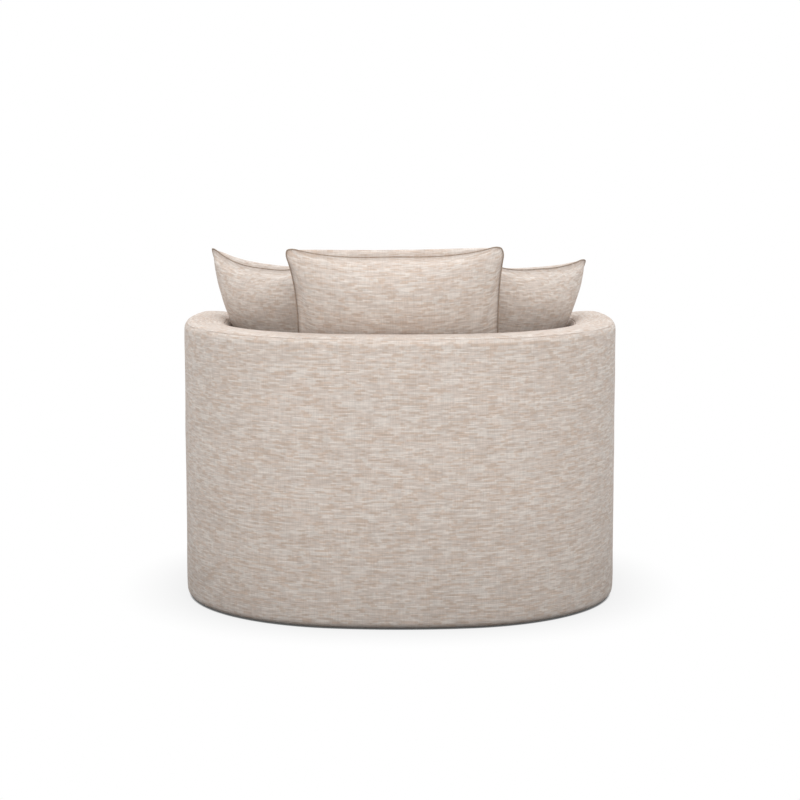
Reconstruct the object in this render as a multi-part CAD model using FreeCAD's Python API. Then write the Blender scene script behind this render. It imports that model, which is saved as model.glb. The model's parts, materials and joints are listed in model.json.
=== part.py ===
import FreeCAD, Part
import math
import os

Vector = FreeCAD.Vector
UP = Vector(0, 0, 1)

# Tub, all lengths in millimetres
WIDTH = 1170.0
DEPTH = 1140.0
RIM_HEIGHT = 742.0
WALL = 120.0
RIM_BEVEL = 16.4
SEAM_DROP = 8.2
ARM_REACH = 175.0

# Plan outline: shallow arcs at the ends and sides, rounder arcs at the corners
END_RADIUS = 1120.0
SIDE_RADIUS = 1110.0
CORNER_RADIUS = 476.0

# Upholstery layers
COVER = 1.6
WADDING = 8.0
RIM_FOAM = 38.0
EASE = 0.3
HEM_BEVEL = 5.0
HEM_WIDTH = 42.0
FLANGE_WIDTH = 45.0

# Wooden frame
PLY = 18.0
PANEL = 3.0
POST_DEPTH = 42.0
POST_WIDTH = 34.0
BACK_POSTS = 9
FRONT_POSTS = 4
BASE_WIDTH = 92.0
SEAT_RING_WIDTH = 152.0
DECK_HEIGHT = 230.0
STRETCHER_WIDTH = 44.0
STRETCHER_HEIGHT = 40.0
STRETCHER_SPREAD = 400.0
BLOCK_SIZE = 36.0
BLOCK_HEIGHT = 70.0

# Underside
PADS = 6
PAD_SIZE = 36.0
PAD_HEIGHT = 4.0
PAD_INSET = 72.0
DUST_COVER = 0.8
DUST_INSET = 20.0

# Seat support
STRAP_WIDTH = 50.0
STRAP = 1.5
STRAPS_ALONG = 6
STRAPS_ACROSS = 6
STRAP_PITCH = 118.0
DECK_PAD = 6.0

# Loose seat cushion
SEAT_EASE = 3.0
SEAT_FRONT_INSET = 2.0
SEAT_EAR = 46.0
SEAT_SEAM = 418.0
SEAT_TOP = 432.0
SEAT_CROWN = 640.0
SEAT_BEVEL = 14.0

# Loose pillows
CENTER_WIDTH = 548.0
CENTER_HEIGHT = 536.0
CENTER_THICKNESS = 166.0
SIDE_WIDTH = 492.0
SIDE_HEIGHT = 501.0
SIDE_THICKNESS = 158.0
PILLOW_DRAW = 25.0
PILLOW_CORNER = 15.0
REST = 0.4

# Where the pillows lean: distance of the middle from the inner faces, turn, lean and roll
CENTER_SHIFT = 8.0
CENTER_BACK = 110.5
CENTER_TURN = 0.0
CENTER_LEAN = 15.0
CENTER_ROLL = 1.0
LEFT_SIDE = 171.0
LEFT_BACK = 388.0
LEFT_TURN = 54.0
LEFT_LEAN = 18.0
LEFT_ROLL = -3.0
RIGHT_SIDE = 173.0
RIGHT_BACK = 388.0
RIGHT_TURN = -54.0
RIGHT_LEAN = 18.0
RIGHT_ROLL = 1.0

# Layers counted inwards from the outer face of the tub
WADDING_AT = COVER + EASE
PANEL_AT = WADDING_AT + WADDING + EASE
FRAME_AT = PANEL_AT + PANEL + EASE
FRAME_END = FRAME_AT + POST_DEPTH
LINING_AT = FRAME_END + EASE
FOAM_AT = LINING_AT + PANEL + EASE
FOAM_END = WALL - COVER - EASE

# Levels counted up from the floor
HEM_AT = PAD_HEIGHT + DUST_COVER
BASE_AT = HEM_AT + COVER
BASE_TOP = BASE_AT + PLY
FLANGE_AT = DECK_HEIGHT + EASE
FRONT_TOP = FLANGE_AT + COVER
WALL_AT = FRONT_TOP + EASE
PAD_AT = DECK_HEIGHT + 2 * STRAP + EASE
SEAT_AT = PAD_AT + DECK_PAD + EASE
FOAM_LINE = RIM_HEIGHT - COVER - EASE - RIM_FOAM
RAIL_AT = FOAM_LINE - PLY
SEAM_AT = RIM_HEIGHT - SEAM_DROP


def heading(degrees):
    """Unit vector of a plan direction."""
    turn = math.radians(degrees)
    return Vector(math.cos(turn), math.sin(turn), 0)


def bearing(vector):
    """Plan direction of a vector, in degrees."""
    return math.degrees(math.atan2(vector.y, vector.x))


def meet(first, first_reach, second, second_reach, near):
    """The point at two set distances from two centres, on the side of a third point."""
    gap = second - first
    span = gap.Length
    along = (first_reach ** 2 - second_reach ** 2 + span ** 2) / (2 * span)
    across = math.sqrt(max(first_reach ** 2 - along ** 2, 0))
    line = gap * (1 / span)
    foot = first + line * along
    side = Vector(-line.y, line.x, 0) * across
    options = [foot + side, foot - side]
    return min(options, key=lambda point: (point - near).Length)


SIDE_CENTER = Vector(WIDTH / 2 - SIDE_RADIUS, 0, 0)
END_CENTER = Vector(0, DEPTH / 2 - END_RADIUS, 0)
CORNER_CENTER = meet(SIDE_CENTER, SIDE_RADIUS - CORNER_RADIUS, END_CENTER,
                     END_RADIUS - CORNER_RADIUS, Vector(WIDTH, DEPTH, 0))
SIDE_JOIN = bearing(CORNER_CENTER - SIDE_CENTER)
END_JOIN = bearing(CORNER_CENTER - END_CENTER)


def spot(angle, inset):
    """Point of the plan outline, set inwards, where the outline faces a direction."""
    facing = heading(angle)
    folded = math.degrees(math.atan2(abs(facing.y), abs(facing.x)))
    if folded < SIDE_JOIN:
        center, radius = SIDE_CENTER, SIDE_RADIUS
    elif folded < END_JOIN:
        center, radius = CORNER_CENTER, CORNER_RADIUS
    else:
        center, radius = END_CENTER, END_RADIUS
    right = math.copysign(1, facing.x)
    back = math.copysign(1, facing.y)
    return Vector(center.x * right, center.y * back, 0) + facing * (radius - inset)


def solve(function, low, high):
    """Root of a rising function between two values."""
    for step in range(60):
        middle = (low + high) / 2
        if function(middle) < 0:
            low = middle
        else:
            high = middle
    return (low + high) / 2


ARM_START = solve(lambda angle: spot(angle, WALL / 2).y + ARM_REACH, -80, -1)
ARM_STOP = 180 - ARM_START
NOSE = spot(ARM_START, WALL / 2)


def mirrored(point):
    """The same point on the other side of the middle."""
    return Vector(-point.x, point.y, point.z)


def run(inset, start, stop):
    """Arcs of the set-in plan outline between two facing directions."""
    joins = []
    for turn in (-360, -180, 0, 180, 360, 540):
        for join in (SIDE_JOIN, END_JOIN):
            joins += [turn + join, turn - join]
    stops = [start] + sorted(a for a in set(joins) if start < a < stop) + [stop]
    arcs = []
    for a, b in zip(stops, stops[1:]):
        arcs.append((spot(a, inset), spot((a + b) / 2, inset), spot(b, inset)))
    return arcs


def turned_arc(center, radius, start, stop):
    """One arc about a centre between two directions."""
    return [(center + heading(start) * radius, center + heading((start + stop) / 2) * radius,
             center + heading(stop) * radius)]


def backwards(arcs):
    """The same arcs, followed from the other end."""
    return [arc[::-1] for arc in reversed(arcs)]


def edge(points):
    """A line through two points or an arc through three."""
    if len(points) == 2:
        return Part.makeLine(points[0], points[1])
    return Part.Arc(*points).toShape()


def outline(pieces, height=0.0, scale=1.0, about=Vector()):
    """Closed wire of lines and arcs at one height."""
    edges = []
    for points in pieces:
        moved = [about + (p - about) * scale + UP * height for p in points]
        edges.append(edge(moved))
    return Part.Wire(edges)


def prism(wire, low, high):
    """Upright solid between two heights from an outline."""
    face = Part.Face(wire)
    face.translate(UP * low)
    return face.extrude(UP * (high - low))


def oval(inset):
    """The whole plan outline, set inwards."""
    return outline(run(inset, -90, 270))


def ring(outer, inner, low, high):
    """Closed ring between two insets."""
    return prism(oval(outer), low, high).cut(prism(oval(inner), low - PLY, high + PLY))


def band(outer, inner, start, stop, low, high):
    """Curved wall between two insets and two facing directions."""
    pieces = run(outer, start, stop)
    pieces.append((spot(stop, outer), spot(stop, inner)))
    pieces += backwards(run(inner, start, stop))
    pieces.append((spot(start, inner), spot(start, outer)))
    return prism(outline(pieces), low, high)


def bevel(size, inset):
    """Width of a bevel on a solid that is set in on all faces."""
    return size - inset * (2 - math.sqrt(2))


def horseshoe(inset, low):
    """Upright tub wall with round arm ends and a bevelled rim, set in on all faces."""
    nose = WALL / 2 - inset
    left = mirrored(NOSE)
    pieces = run(inset, ARM_START, ARM_STOP)
    pieces += turned_arc(left, nose, ARM_STOP, ARM_STOP + 90)
    pieces += turned_arc(left, nose, ARM_STOP + 90, ARM_STOP + 180)
    pieces += backwards(run(WALL - inset, ARM_START, ARM_STOP))
    pieces += turned_arc(NOSE, nose, ARM_START + 180, ARM_START + 270)
    pieces += turned_arc(NOSE, nose, ARM_START + 270, ARM_START + 360)
    top = RIM_HEIGHT - inset
    wall = prism(outline(pieces), low, top)
    edges = [e for e in wall.Edges if e.BoundBox.ZMin > top - 0.01]
    return wall.makeChamfer(bevel(RIM_BEVEL, inset), edges)


def drum(inset, high):
    """Whole lower body with a bevelled bottom edge, set in on all faces."""
    low = HEM_AT + inset
    body = prism(oval(inset), low, high)
    edges = [e for e in body.Edges if e.BoundBox.ZMax < low + 0.01]
    return body.makeChamfer(bevel(HEM_BEVEL, inset), edges)


def slab(low, high):
    """Flat block over the whole plan between two heights."""
    return Part.makeBox(3 * WIDTH, 3 * DEPTH, high - low, Vector(-1.5 * WIDTH, -1.5 * DEPTH, low))


def front_zone(start):
    """Block over the plan ahead of the arm ends."""
    outside = spot(start, -WALL)
    inside = spot(start, 2 * WALL)
    far = Vector(2 * WIDTH, -2 * DEPTH, 0)
    corners = [outside, inside, mirrored(inside), mirrored(outside), mirrored(far), far]
    wire = Part.makePolygon(corners + [corners[0]])
    return prism(wire, -DEPTH, 2 * RIM_HEIGHT)


def post(angle, low, high, spare=0.0):
    """Upright post that faces a direction, between the outer panel and the lining."""
    depth = POST_DEPTH - 2 * EASE + 2 * spare
    width = POST_WIDTH + 2 * spare
    body = Part.makeBox(depth, width, high - low, Vector(-depth / 2, -width / 2, low))
    body.rotate(Vector(), UP, angle)
    body.translate(spot(angle, FRAME_AT + POST_DEPTH / 2))
    return body


def spread(count, start, stop):
    """Evenly spaced directions, with half a step left at either end."""
    step = (stop - start) / count
    return [start + step * (i + 0.5) for i in range(count)]


ARM_GAP = math.degrees(EASE / CORNER_RADIUS)
FRONT_START = ARM_STOP + ARM_GAP
FRONT_STOP = 360 + ARM_START - ARM_GAP
BACK_ANGLES = spread(BACK_POSTS, ARM_START, ARM_STOP)
FRONT_ANGLES = spread(FRONT_POSTS, FRONT_START, FRONT_STOP)


def back_band(outer, inner, low, high):
    """Wall from arm end to arm end."""
    return band(outer, inner, ARM_START, ARM_STOP, low, high)


def front_band(outer, inner, low, high):
    """Wall below the seat, between the arm ends."""
    return band(outer, inner, FRONT_START, FRONT_STOP, low, high)


def build_frame():
    """Plywood rings, posts, stretchers, blocks and thin panels."""
    nodes = {}
    posts = [post(a, BASE_TOP, RAIL_AT) for a in BACK_ANGLES]
    slots = [post(a, BASE_TOP, RAIL_AT, EASE) for a in BACK_ANGLES]
    low = DECK_HEIGHT - PLY
    nodes["seat_ring"] = ring(FRAME_AT, FRAME_AT + SEAT_RING_WIDTH, low, DECK_HEIGHT).cut(slots)
    nodes["back_posts"] = Part.makeCompound(posts)
    nodes["front_posts"] = Part.makeCompound([post(a, BASE_TOP, low) for a in FRONT_ANGLES])
    nodes["top_rail"] = back_band(FRAME_AT, FRAME_END, RAIL_AT, FOAM_LINE)
    room = prism(oval(LINING_AT + EASE), 0, RIM_HEIGHT)
    stretchers = []
    for side in (-1, 1):
        corner = Vector(side * STRETCHER_SPREAD / 2 - STRETCHER_WIDTH / 2, -DEPTH, BASE_TOP)
        bar = Part.makeBox(STRETCHER_WIDTH, 2 * DEPTH, STRETCHER_HEIGHT, corner)
        stretchers.append(bar.common(room))
    nodes["base_stretchers"] = Part.makeCompound(stretchers)
    blocks = []
    for angle in BACK_ANGLES:
        corner = Vector(-BLOCK_SIZE / 2, -BLOCK_SIZE / 2, low - BLOCK_HEIGHT)
        block = Part.makeBox(BLOCK_SIZE, BLOCK_SIZE, BLOCK_HEIGHT, corner)
        block.rotate(Vector(), UP, angle)
        block.translate(spot(angle, FRAME_END + BLOCK_SIZE / 2))
        blocks.append(block)
    nodes["corner_blocks"] = Part.makeCompound(blocks)
    nodes["outer_panel"] = back_band(PANEL_AT, PANEL_AT + PANEL, BASE_AT, FOAM_LINE)
    nodes["front_panel"] = front_band(PANEL_AT, PANEL_AT + PANEL, BASE_AT, DECK_HEIGHT)
    nodes["lining_panel"] = back_band(LINING_AT, LINING_AT + PANEL, DECK_HEIGHT, FOAM_LINE)
    return nodes


def build_underside():
    """Base ring, dust cover and the pads the chair stands on."""
    nodes = {}
    nodes["base_ring"] = ring(FRAME_AT, FRAME_AT + BASE_WIDTH, BASE_AT, BASE_TOP)
    nodes["dust_cover"] = prism(oval(DUST_INSET), PAD_HEIGHT, HEM_AT)
    pads = []
    for angle in spread(PADS, 0, 360):
        corner = Vector(-PAD_SIZE / 2, -PAD_SIZE / 2, 0)
        pad = Part.makeBox(PAD_SIZE, PAD_SIZE, PAD_HEIGHT, corner)
        pad.rotate(Vector(), UP, angle)
        pad.translate(spot(angle, PAD_INSET))
        pads.append(pad)
    nodes["floor_pads"] = Part.makeCompound(pads)
    return nodes


def build_padding():
    """Wadding, back foam, arm noses and the foam over the rim."""
    nodes = {}
    low = HEM_AT + HEM_BEVEL + COVER
    end = WADDING_AT + WADDING
    nodes["outside_wadding"] = back_band(WADDING_AT, end, low, FOAM_LINE)
    nodes["front_wadding"] = front_band(WADDING_AT, end, low, DECK_HEIGHT)
    nodes["back_foam"] = back_band(FOAM_AT, FOAM_END, DECK_HEIGHT, FOAM_LINE)
    noses = []
    radius = WALL / 2 - COVER - 2 * EASE
    for center, facing in ((NOSE, ARM_START), (mirrored(NOSE), ARM_STOP + 180)):
        place = center + heading(facing - 90) * EASE
        arcs = turned_arc(place, radius, facing - 180, facing - 90)
        arcs += turned_arc(place, radius, facing - 90, facing)
        arcs.append((place + heading(facing) * radius, place - heading(facing) * radius))
        noses.append(prism(outline(arcs), WALL_AT, FOAM_LINE))
    nodes["arm_noses"] = Part.makeCompound(noses)
    nodes["rim_foam"] = horseshoe(WADDING_AT, FOAM_LINE + EASE)
    return nodes


def build_covers():
    """Sewn outer skins of the tub."""
    nodes = {}
    shell = horseshoe(0, WALL_AT).cut(horseshoe(COVER, WALL_AT - COVER))
    nodes["rim_cover"] = shell.common(slab(SEAM_AT, 2 * RIM_HEIGHT))
    sides = shell.common(slab(0, SEAM_AT - EASE))
    inner = band(WALL / 2, WALL + COVER, ARM_START, ARM_STOP, 0, RIM_HEIGHT)
    spare = band(WALL / 2, WALL + COVER, ARM_START - ARM_GAP, ARM_STOP + ARM_GAP, 0, RIM_HEIGHT)
    nodes["inside_cover"] = sides.common(inner)
    upper = sides.cut(spare)
    hole = prism(oval(HEM_WIDTH), 0, HEM_AT + 2 * COVER)
    lower = drum(0, WALL_AT).cut(drum(COVER, WALL_AT + COVER)).cut(hole)
    nodes["outside_cover"] = upper.fuse(lower.cut(front_zone(ARM_START))).removeSplitter()
    front = lower.common(front_zone(ARM_START - ARM_GAP)).common(slab(0, FRONT_TOP))
    flange = front_band(0, FLANGE_WIDTH, FLANGE_AT, FRONT_TOP)
    nodes["front_cover"] = front.fuse(flange).removeSplitter()
    return nodes


NOSE_ROOM = WALL / 2 + SEAT_EASE
EAR_LINE = SEAT_FRONT_INSET + SEAT_EAR
EAR_AT = solve(lambda a: NOSE_ROOM + SEAT_EAR - (spot(a, EAR_LINE) - NOSE).Length, -89, ARM_START)
EAR = spot(EAR_AT, EAR_LINE)
EAR_TURN = bearing(EAR - NOSE)
SEAT_MIDDLE = Vector(0, -ARM_REACH / 3, 0)


def seat_pieces(inset):
    """Seat outline that fits the tub, wraps the arm ends and follows the front."""
    nose = NOSE_ROOM + inset
    ear = SEAT_EAR - inset
    left_nose = mirrored(NOSE)
    left_ear = mirrored(EAR)
    pieces = run(WALL + SEAT_EASE + inset, ARM_START, ARM_STOP)
    pieces += turned_arc(left_nose, nose, -ARM_START, -180 - EAR_TURN)
    pieces += turned_arc(left_ear, ear, -EAR_TURN, 180 - EAR_AT)
    pieces += run(SEAT_FRONT_INSET + inset, 180 - EAR_AT, 360 + EAR_AT)
    pieces += turned_arc(EAR, ear, EAR_AT, EAR_TURN + 180)
    pieces += turned_arc(NOSE, nose, EAR_TURN + 360, ARM_START + 180)
    return pieces


def lens(length, thickness, across):
    """Long solid with a lens section, as a sheet bulges between two seams."""
    half = length / 2
    rise = thickness / 2
    tips = [Vector(-2 * length, -half, 0), Vector(-2 * length, half, 0)]
    upper = edge((tips[0], Vector(-2 * length, 0, rise), tips[1]))
    lower = edge((tips[1], Vector(-2 * length, 0, -rise), tips[0]))
    body = Part.Face(Part.Wire([upper, lower])).extrude(Vector(4 * length, 0, 0))
    if across:
        body.rotate(Vector(), UP, 90)
    return body


def seat_cushion():
    """Boxed seat cushion with a bevelled upper edge and a raised crown."""
    box = prism(outline(seat_pieces(0)), SEAT_AT, SEAT_SEAM)
    rims = [e for e in box.Edges if e.BoundBox.ZMin > SEAT_SEAM - 0.01]
    box = box.makeChamfer(SEAT_BEVEL, rims)
    swell = 2 * (SEAT_TOP - SEAT_SEAM)
    crown = lens(SEAT_CROWN, swell, False).common(lens(SEAT_CROWN, swell, True))
    crown.translate(SEAT_MIDDLE + UP * SEAT_SEAM)
    return box.fuse(crown)


def build_seat():
    """Webbing, deck pad and the loose seat cushion."""
    nodes = {}
    room = prism(oval(WALL + SEAT_EASE), 0, RIM_HEIGHT)
    straps = []
    for count, across, level in ((STRAPS_ACROSS, True, 0), (STRAPS_ALONG, False, STRAP)):
        for i in range(count):
            at = (i - (count - 1) / 2) * STRAP_PITCH - STRAP_WIDTH / 2
            size = (2 * WIDTH, STRAP_WIDTH) if across else (STRAP_WIDTH, 2 * DEPTH)
            corner = Vector(-WIDTH, at, 0) if across else Vector(at, -DEPTH, 0)
            strap = Part.makeBox(size[0], size[1], STRAP, corner + UP * (DECK_HEIGHT + level))
            straps.append(strap.common(room))
    nodes["seat_webbing"] = Part.makeCompound(straps)
    nodes["deck_pad"] = prism(outline(seat_pieces(COVER)), PAD_AT, PAD_AT + DECK_PAD)
    nodes["seat_cushion"] = seat_cushion()
    return nodes


def pillow_pieces(wide, tall, bend):
    """Four bowed sides with rounded corners; bend is the curvature of the sides."""
    reach = 1 / bend
    right = Vector(wide - reach, 0, 0)
    top = Vector(0, tall - reach, 0)
    far = abs(reach - PILLOW_CORNER)
    center = meet(right, far, top, far, Vector(wide, tall, 0))
    first = right + (center - right).normalize() * abs(reach)
    last = top + (center - top).normalize() * abs(reach)
    middle = ((first - center).normalize() + (last - center).normalize()).normalize()
    apex = center + middle * PILLOW_CORNER

    def flip(point, x, y):
        return Vector(point.x * x, point.y * y, 0)

    return [
        (flip(first, 1, -1), Vector(wide, 0, 0), first),
        (first, apex, last),
        (last, Vector(0, tall, 0), flip(last, -1, 1)),
        (flip(last, -1, 1), flip(apex, -1, 1), flip(first, -1, 1)),
        (flip(first, -1, 1), Vector(-wide, 0, 0), flip(first, -1, -1)),
        (flip(first, -1, -1), flip(apex, -1, -1), flip(last, -1, -1)),
        (flip(last, -1, -1), Vector(0, -tall, 0), flip(last, 1, -1)),
        (flip(last, 1, -1), flip(apex, 1, -1), flip(first, 1, -1)),
    ]


def side_bend(length):
    """Curvature of a seam that is drawn in at its middle."""
    half = length / 2 - PILLOW_CORNER
    return -2 * PILLOW_DRAW / (half ** 2 + PILLOW_DRAW ** 2)


def pillow_body(width, height, thickness):
    """Plump knife-edge pillow with drawn-in sides."""
    bend = side_bend((width + height) / 2)
    pieces = pillow_pieces(width / 2 - PILLOW_DRAW, height / 2 - PILLOW_DRAW, bend)
    body = prism(outline(pieces), -thickness, thickness)
    return body.common(lens(height, thickness, False)).common(lens(width, thickness, True))


def lean_on(shape, x, y, turn, lean, roll):
    """Stand a shape built flat in a pillow's plane where the pillow leans."""
    back = Vector(math.sin(math.radians(turn)), math.cos(math.radians(turn)), 0)
    tilt = math.radians(lean)
    tall = UP * math.cos(tilt) + back * math.sin(tilt)
    normal = back * math.cos(tilt) - UP * math.sin(tilt)
    wide = tall.cross(normal)
    spin = math.radians(roll)
    along = wide * math.cos(spin) + tall * math.sin(spin)
    rise = tall * math.cos(spin) - wide * math.sin(spin)
    place = FreeCAD.Matrix(along.x, rise.x, normal.x, x, along.y, rise.y, normal.y, y,
                           along.z, rise.z, normal.z, RIM_HEIGHT, 0, 0, 0, 1)
    shape.Placement = FreeCAD.Placement(place)
    return shape


def leaning_pillow(width, height, thickness, pose, seat):
    """One pillow where it leans, let down onto the seat."""
    pillow = lean_on(pillow_body(width, height, thickness), *pose)
    for step in range(8):
        gap = pillow.distToShape(seat)[0]
        pillow.translate(UP * (REST - gap))
        if gap < 2 * REST:
            break
    return pillow


def build_pillows(seat):
    """Three loose pillows: one against the back, two against the arms."""
    nodes = {}
    side = WIDTH / 2 - WALL
    back = DEPTH / 2 - WALL
    pose = (CENTER_SHIFT, back - CENTER_BACK, CENTER_TURN, CENTER_LEAN, CENTER_ROLL)
    nodes["center_pillow"] = leaning_pillow(CENTER_WIDTH, CENTER_HEIGHT, CENTER_THICKNESS, pose, seat)
    pose = (side - LEFT_SIDE, back - LEFT_BACK, LEFT_TURN, LEFT_LEAN, LEFT_ROLL)
    nodes["left_pillow"] = leaning_pillow(SIDE_WIDTH, SIDE_HEIGHT, SIDE_THICKNESS, pose, seat)
    pose = (RIGHT_SIDE - side, back - RIGHT_BACK, RIGHT_TURN, RIGHT_LEAN, RIGHT_ROLL)
    nodes["right_pillow"] = leaning_pillow(SIDE_WIDTH, SIDE_HEIGHT, SIDE_THICKNESS, pose, seat)
    return nodes


def main():
    """Build every node and write it out."""
    nodes = {}
    nodes.update(build_frame())
    nodes.update(build_underside())
    nodes.update(build_padding())
    nodes.update(build_covers())
    nodes.update(build_seat())
    nodes.update(build_pillows(nodes["seat_cushion"]))
    os.makedirs("parts", exist_ok=True)
    for name, shape in nodes.items():
        shape.exportStep("parts/" + name + ".step")


main()
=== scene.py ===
import json
import logging
import math
from dataclasses import dataclass, field
from enum import Enum
from typing import Any, Sequence

import bmesh
import bpy
import numpy as np
from mathutils import Matrix, Vector, noise
from mathutils.geometry import delaunay_2d_cdt


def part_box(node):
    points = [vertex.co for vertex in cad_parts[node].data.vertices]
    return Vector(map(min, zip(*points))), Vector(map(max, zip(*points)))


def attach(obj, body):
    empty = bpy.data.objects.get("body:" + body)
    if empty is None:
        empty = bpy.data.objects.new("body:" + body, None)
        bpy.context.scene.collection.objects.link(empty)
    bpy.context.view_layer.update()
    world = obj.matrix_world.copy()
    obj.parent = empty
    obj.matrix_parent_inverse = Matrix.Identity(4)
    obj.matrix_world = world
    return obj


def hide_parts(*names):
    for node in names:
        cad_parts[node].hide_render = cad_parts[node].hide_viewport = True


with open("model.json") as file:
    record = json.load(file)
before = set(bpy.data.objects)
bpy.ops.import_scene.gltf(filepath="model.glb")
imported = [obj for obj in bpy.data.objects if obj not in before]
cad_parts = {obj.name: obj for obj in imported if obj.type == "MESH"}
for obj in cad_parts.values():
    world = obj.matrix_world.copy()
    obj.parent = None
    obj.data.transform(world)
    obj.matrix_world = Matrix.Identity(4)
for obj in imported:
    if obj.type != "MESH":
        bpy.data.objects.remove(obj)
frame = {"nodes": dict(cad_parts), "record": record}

LOG = logging.getLogger("lounge_chair")
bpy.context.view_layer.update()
HALVINGS = 60  # steps of a search that halves its range
ROW_PITCH = 0.866  # distance of two rows in an even triangle grid, by the spacing in a row
TINY = 1e-9  # keeps a division clear of zero
JOIN_DIP = 0.0012  # how far a cover draws in where it meets the next one
EDGE_BAND = 0.03  # width of a cover's edge, over which its unevenness fades

Point = np.ndarray
Rgba = tuple[float, float, float, float]
Level = tuple[float, float, float]  # inset from the outer face, height and seam shade


class Body(Enum):
    """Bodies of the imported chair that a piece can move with."""

    TUB = "tub"
    SEAT = "seat"
    CENTER = "center"
    LEFT = "left"
    RIGHT = "right"


class Slot(Enum):
    """Finishes named in the record."""

    WEAVE = "slub_weave"
    FOAM = "foam"
    WADDING = "wadding"
    BOARD = "board"
    PLYWOOD = "plywood"
    WEBBING = "webbing"
    DUST_CLOTH = "dust_cloth"
    RUBBER = "pad_rubber"


def linear(red: float, green: float, blue: float) -> Rgba:
    """Turn a colour of 0 to 255 into linear light.

    Args:
        red: red of the seen colour.
        green: green of the seen colour.
        blue: blue of the seen colour.

    Returns:
        Linear red, green, blue and full alpha.
    """
    parts = []
    for value in (red, green, blue):
        share = value / 255
        parts.append(share / 12.92 if share <= 0.04045 else ((share + 0.055) / 1.055) ** 2.4)
    return (parts[0], parts[1], parts[2], 1.0)


class NodeBench:
    """Short-hand for laying out one shader node tree."""

    def __init__(self, tree: bpy.types.NodeTree) -> None:
        """Keep the tree that nodes are added to."""
        self.tree = tree

    def add(self, kind: str, **settings: Any) -> bpy.types.Node:
        """Add one node.

        Args:
            kind: Blender's node type.
            settings: properties to set on the node.

        Returns:
            The new node.
        """
        node = self.tree.nodes.new(kind)
        for name, value in settings.items():
            setattr(node, name, value)
        return node

    def feed(self, socket: bpy.types.NodeSocket, value: Any) -> None:
        """Link a socket, or set it where the value is a number or a colour.

        Args:
            socket: the input to feed.
            value: number, colour or socket.
        """
        if isinstance(value, bpy.types.NodeSocket):
            self.tree.links.new(value, socket)
        else:
            socket.default_value = value

    def math(self, operation: str, first: Any, second: Any = 0.0,
             clamp: bool = False) -> bpy.types.NodeSocket:
        """Add one sum.

        Args:
            operation: name of the sum.
            first: number or socket.
            second: number or socket.
            clamp: keep the result between 0 and 1.

        Returns:
            The result's socket.
        """
        node = self.add("ShaderNodeMath", operation=operation, use_clamp=clamp)
        self.feed(node.inputs[0], first)
        self.feed(node.inputs[1], second)
        return node.outputs[0]

    def mix(self, factor: Any, first: Any, second: Any, blend: str = "MIX") -> bpy.types.NodeSocket:
        """Mix two colours.

        Args:
            factor: share of the second colour.
            first: colour or socket.
            second: colour or socket.
            blend: way of mixing.

        Returns:
            The mixed colour's socket.
        """
        node = self.add("ShaderNodeMix", data_type="RGBA", blend_type=blend)
        self.feed(node.inputs["Factor"], factor)
        self.feed(node.inputs[6], first)
        self.feed(node.inputs[7], second)
        return node.outputs[2]

    def stretch(self, vector: Any, scale: Sequence[float],
                offset: Sequence[float] = (0, 0, 0)) -> bpy.types.NodeSocket:
        """Scale and shift coordinates.

        Args:
            vector: socket of the coordinates.
            scale: factors along each axis.
            offset: shift along each axis.

        Returns:
            Socket of the new coordinates.
        """
        node = self.add("ShaderNodeMapping")
        self.feed(node.inputs["Vector"], vector)
        node.inputs["Scale"].default_value = tuple(scale)
        node.inputs["Location"].default_value = tuple(offset)
        return node.outputs[0]

    def grain(self, vector: Any, detail: float, rough: float = 0.5,
              scale: float = 1.0) -> bpy.types.NodeSocket:
        """Add a noise over coordinates.

        Args:
            vector: socket of the coordinates.
            detail: octaves of the noise.
            rough: weight of the finer octaves.
            scale: overall scale.

        Returns:
            Socket of the noise between 0 and 1.
        """
        node = self.add("ShaderNodeTexNoise")
        self.feed(node.inputs["Vector"], vector)
        node.inputs["Scale"].default_value = scale
        node.inputs["Detail"].default_value = detail
        node.inputs["Roughness"].default_value = rough
        return node.outputs[0]

    def window(self, value: Any, low: float, high: float, bottom: float = 0.0,
               top: float = 1.0) -> bpy.types.NodeSocket:
        """Map a stretch of values smoothly to another one.

        Args:
            value: number socket.
            low: value that gives the bottom.
            high: value that gives the top.
            bottom: lowest result.
            top: highest result.

        Returns:
            Socket of the result.
        """
        node = self.add("ShaderNodeMapRange", interpolation_type="SMOOTHSTEP")
        self.feed(node.inputs["Value"], value)
        node.inputs["From Min"].default_value = low
        node.inputs["From Max"].default_value = high
        node.inputs["To Min"].default_value = bottom
        node.inputs["To Max"].default_value = top
        return node.outputs[0]

    def window_line(self, value: Any, low: float, high: float, bottom: float,
                    top: float) -> bpy.types.NodeSocket:
        """Map a stretch of values evenly to another one, as window does smoothly.

        Args:
            value: number socket.
            low: value that gives the bottom.
            high: value that gives the top.
            bottom: lowest result.
            top: highest result.

        Returns:
            Socket of the result.
        """
        socket = self.window(value, low, high, bottom, top)
        socket.node.interpolation_type = "LINEAR"
        return socket

    def grey(self, tone: Any) -> bpy.types.NodeSocket:
        """Make a grey of one tone.

        Args:
            tone: number or socket.

        Returns:
            Socket of the grey.
        """
        node = self.add("ShaderNodeCombineColor")
        for channel in range(3):
            self.feed(node.inputs[channel], tone)
        return node.outputs[0]

    def bump(self, height: Any, strength: float, depth: float) -> bpy.types.NodeSocket:
        """Raise a surface by a height.

        Args:
            height: socket of the height.
            strength: how much of it shows, from 0 to 1.
            depth: length of a full height in metres.

        Returns:
            Socket of the surface's direction.
        """
        node = self.add("ShaderNodeBump")
        node.inputs["Strength"].default_value = strength
        node.inputs["Distance"].default_value = depth
        self.feed(node.inputs["Height"], height)
        return node.outputs[0]

    def attribute(self, name: str) -> bpy.types.Node:
        """Read a value kept on the mesh."""
        return self.add("ShaderNodeAttribute", attribute_name=name)

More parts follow.
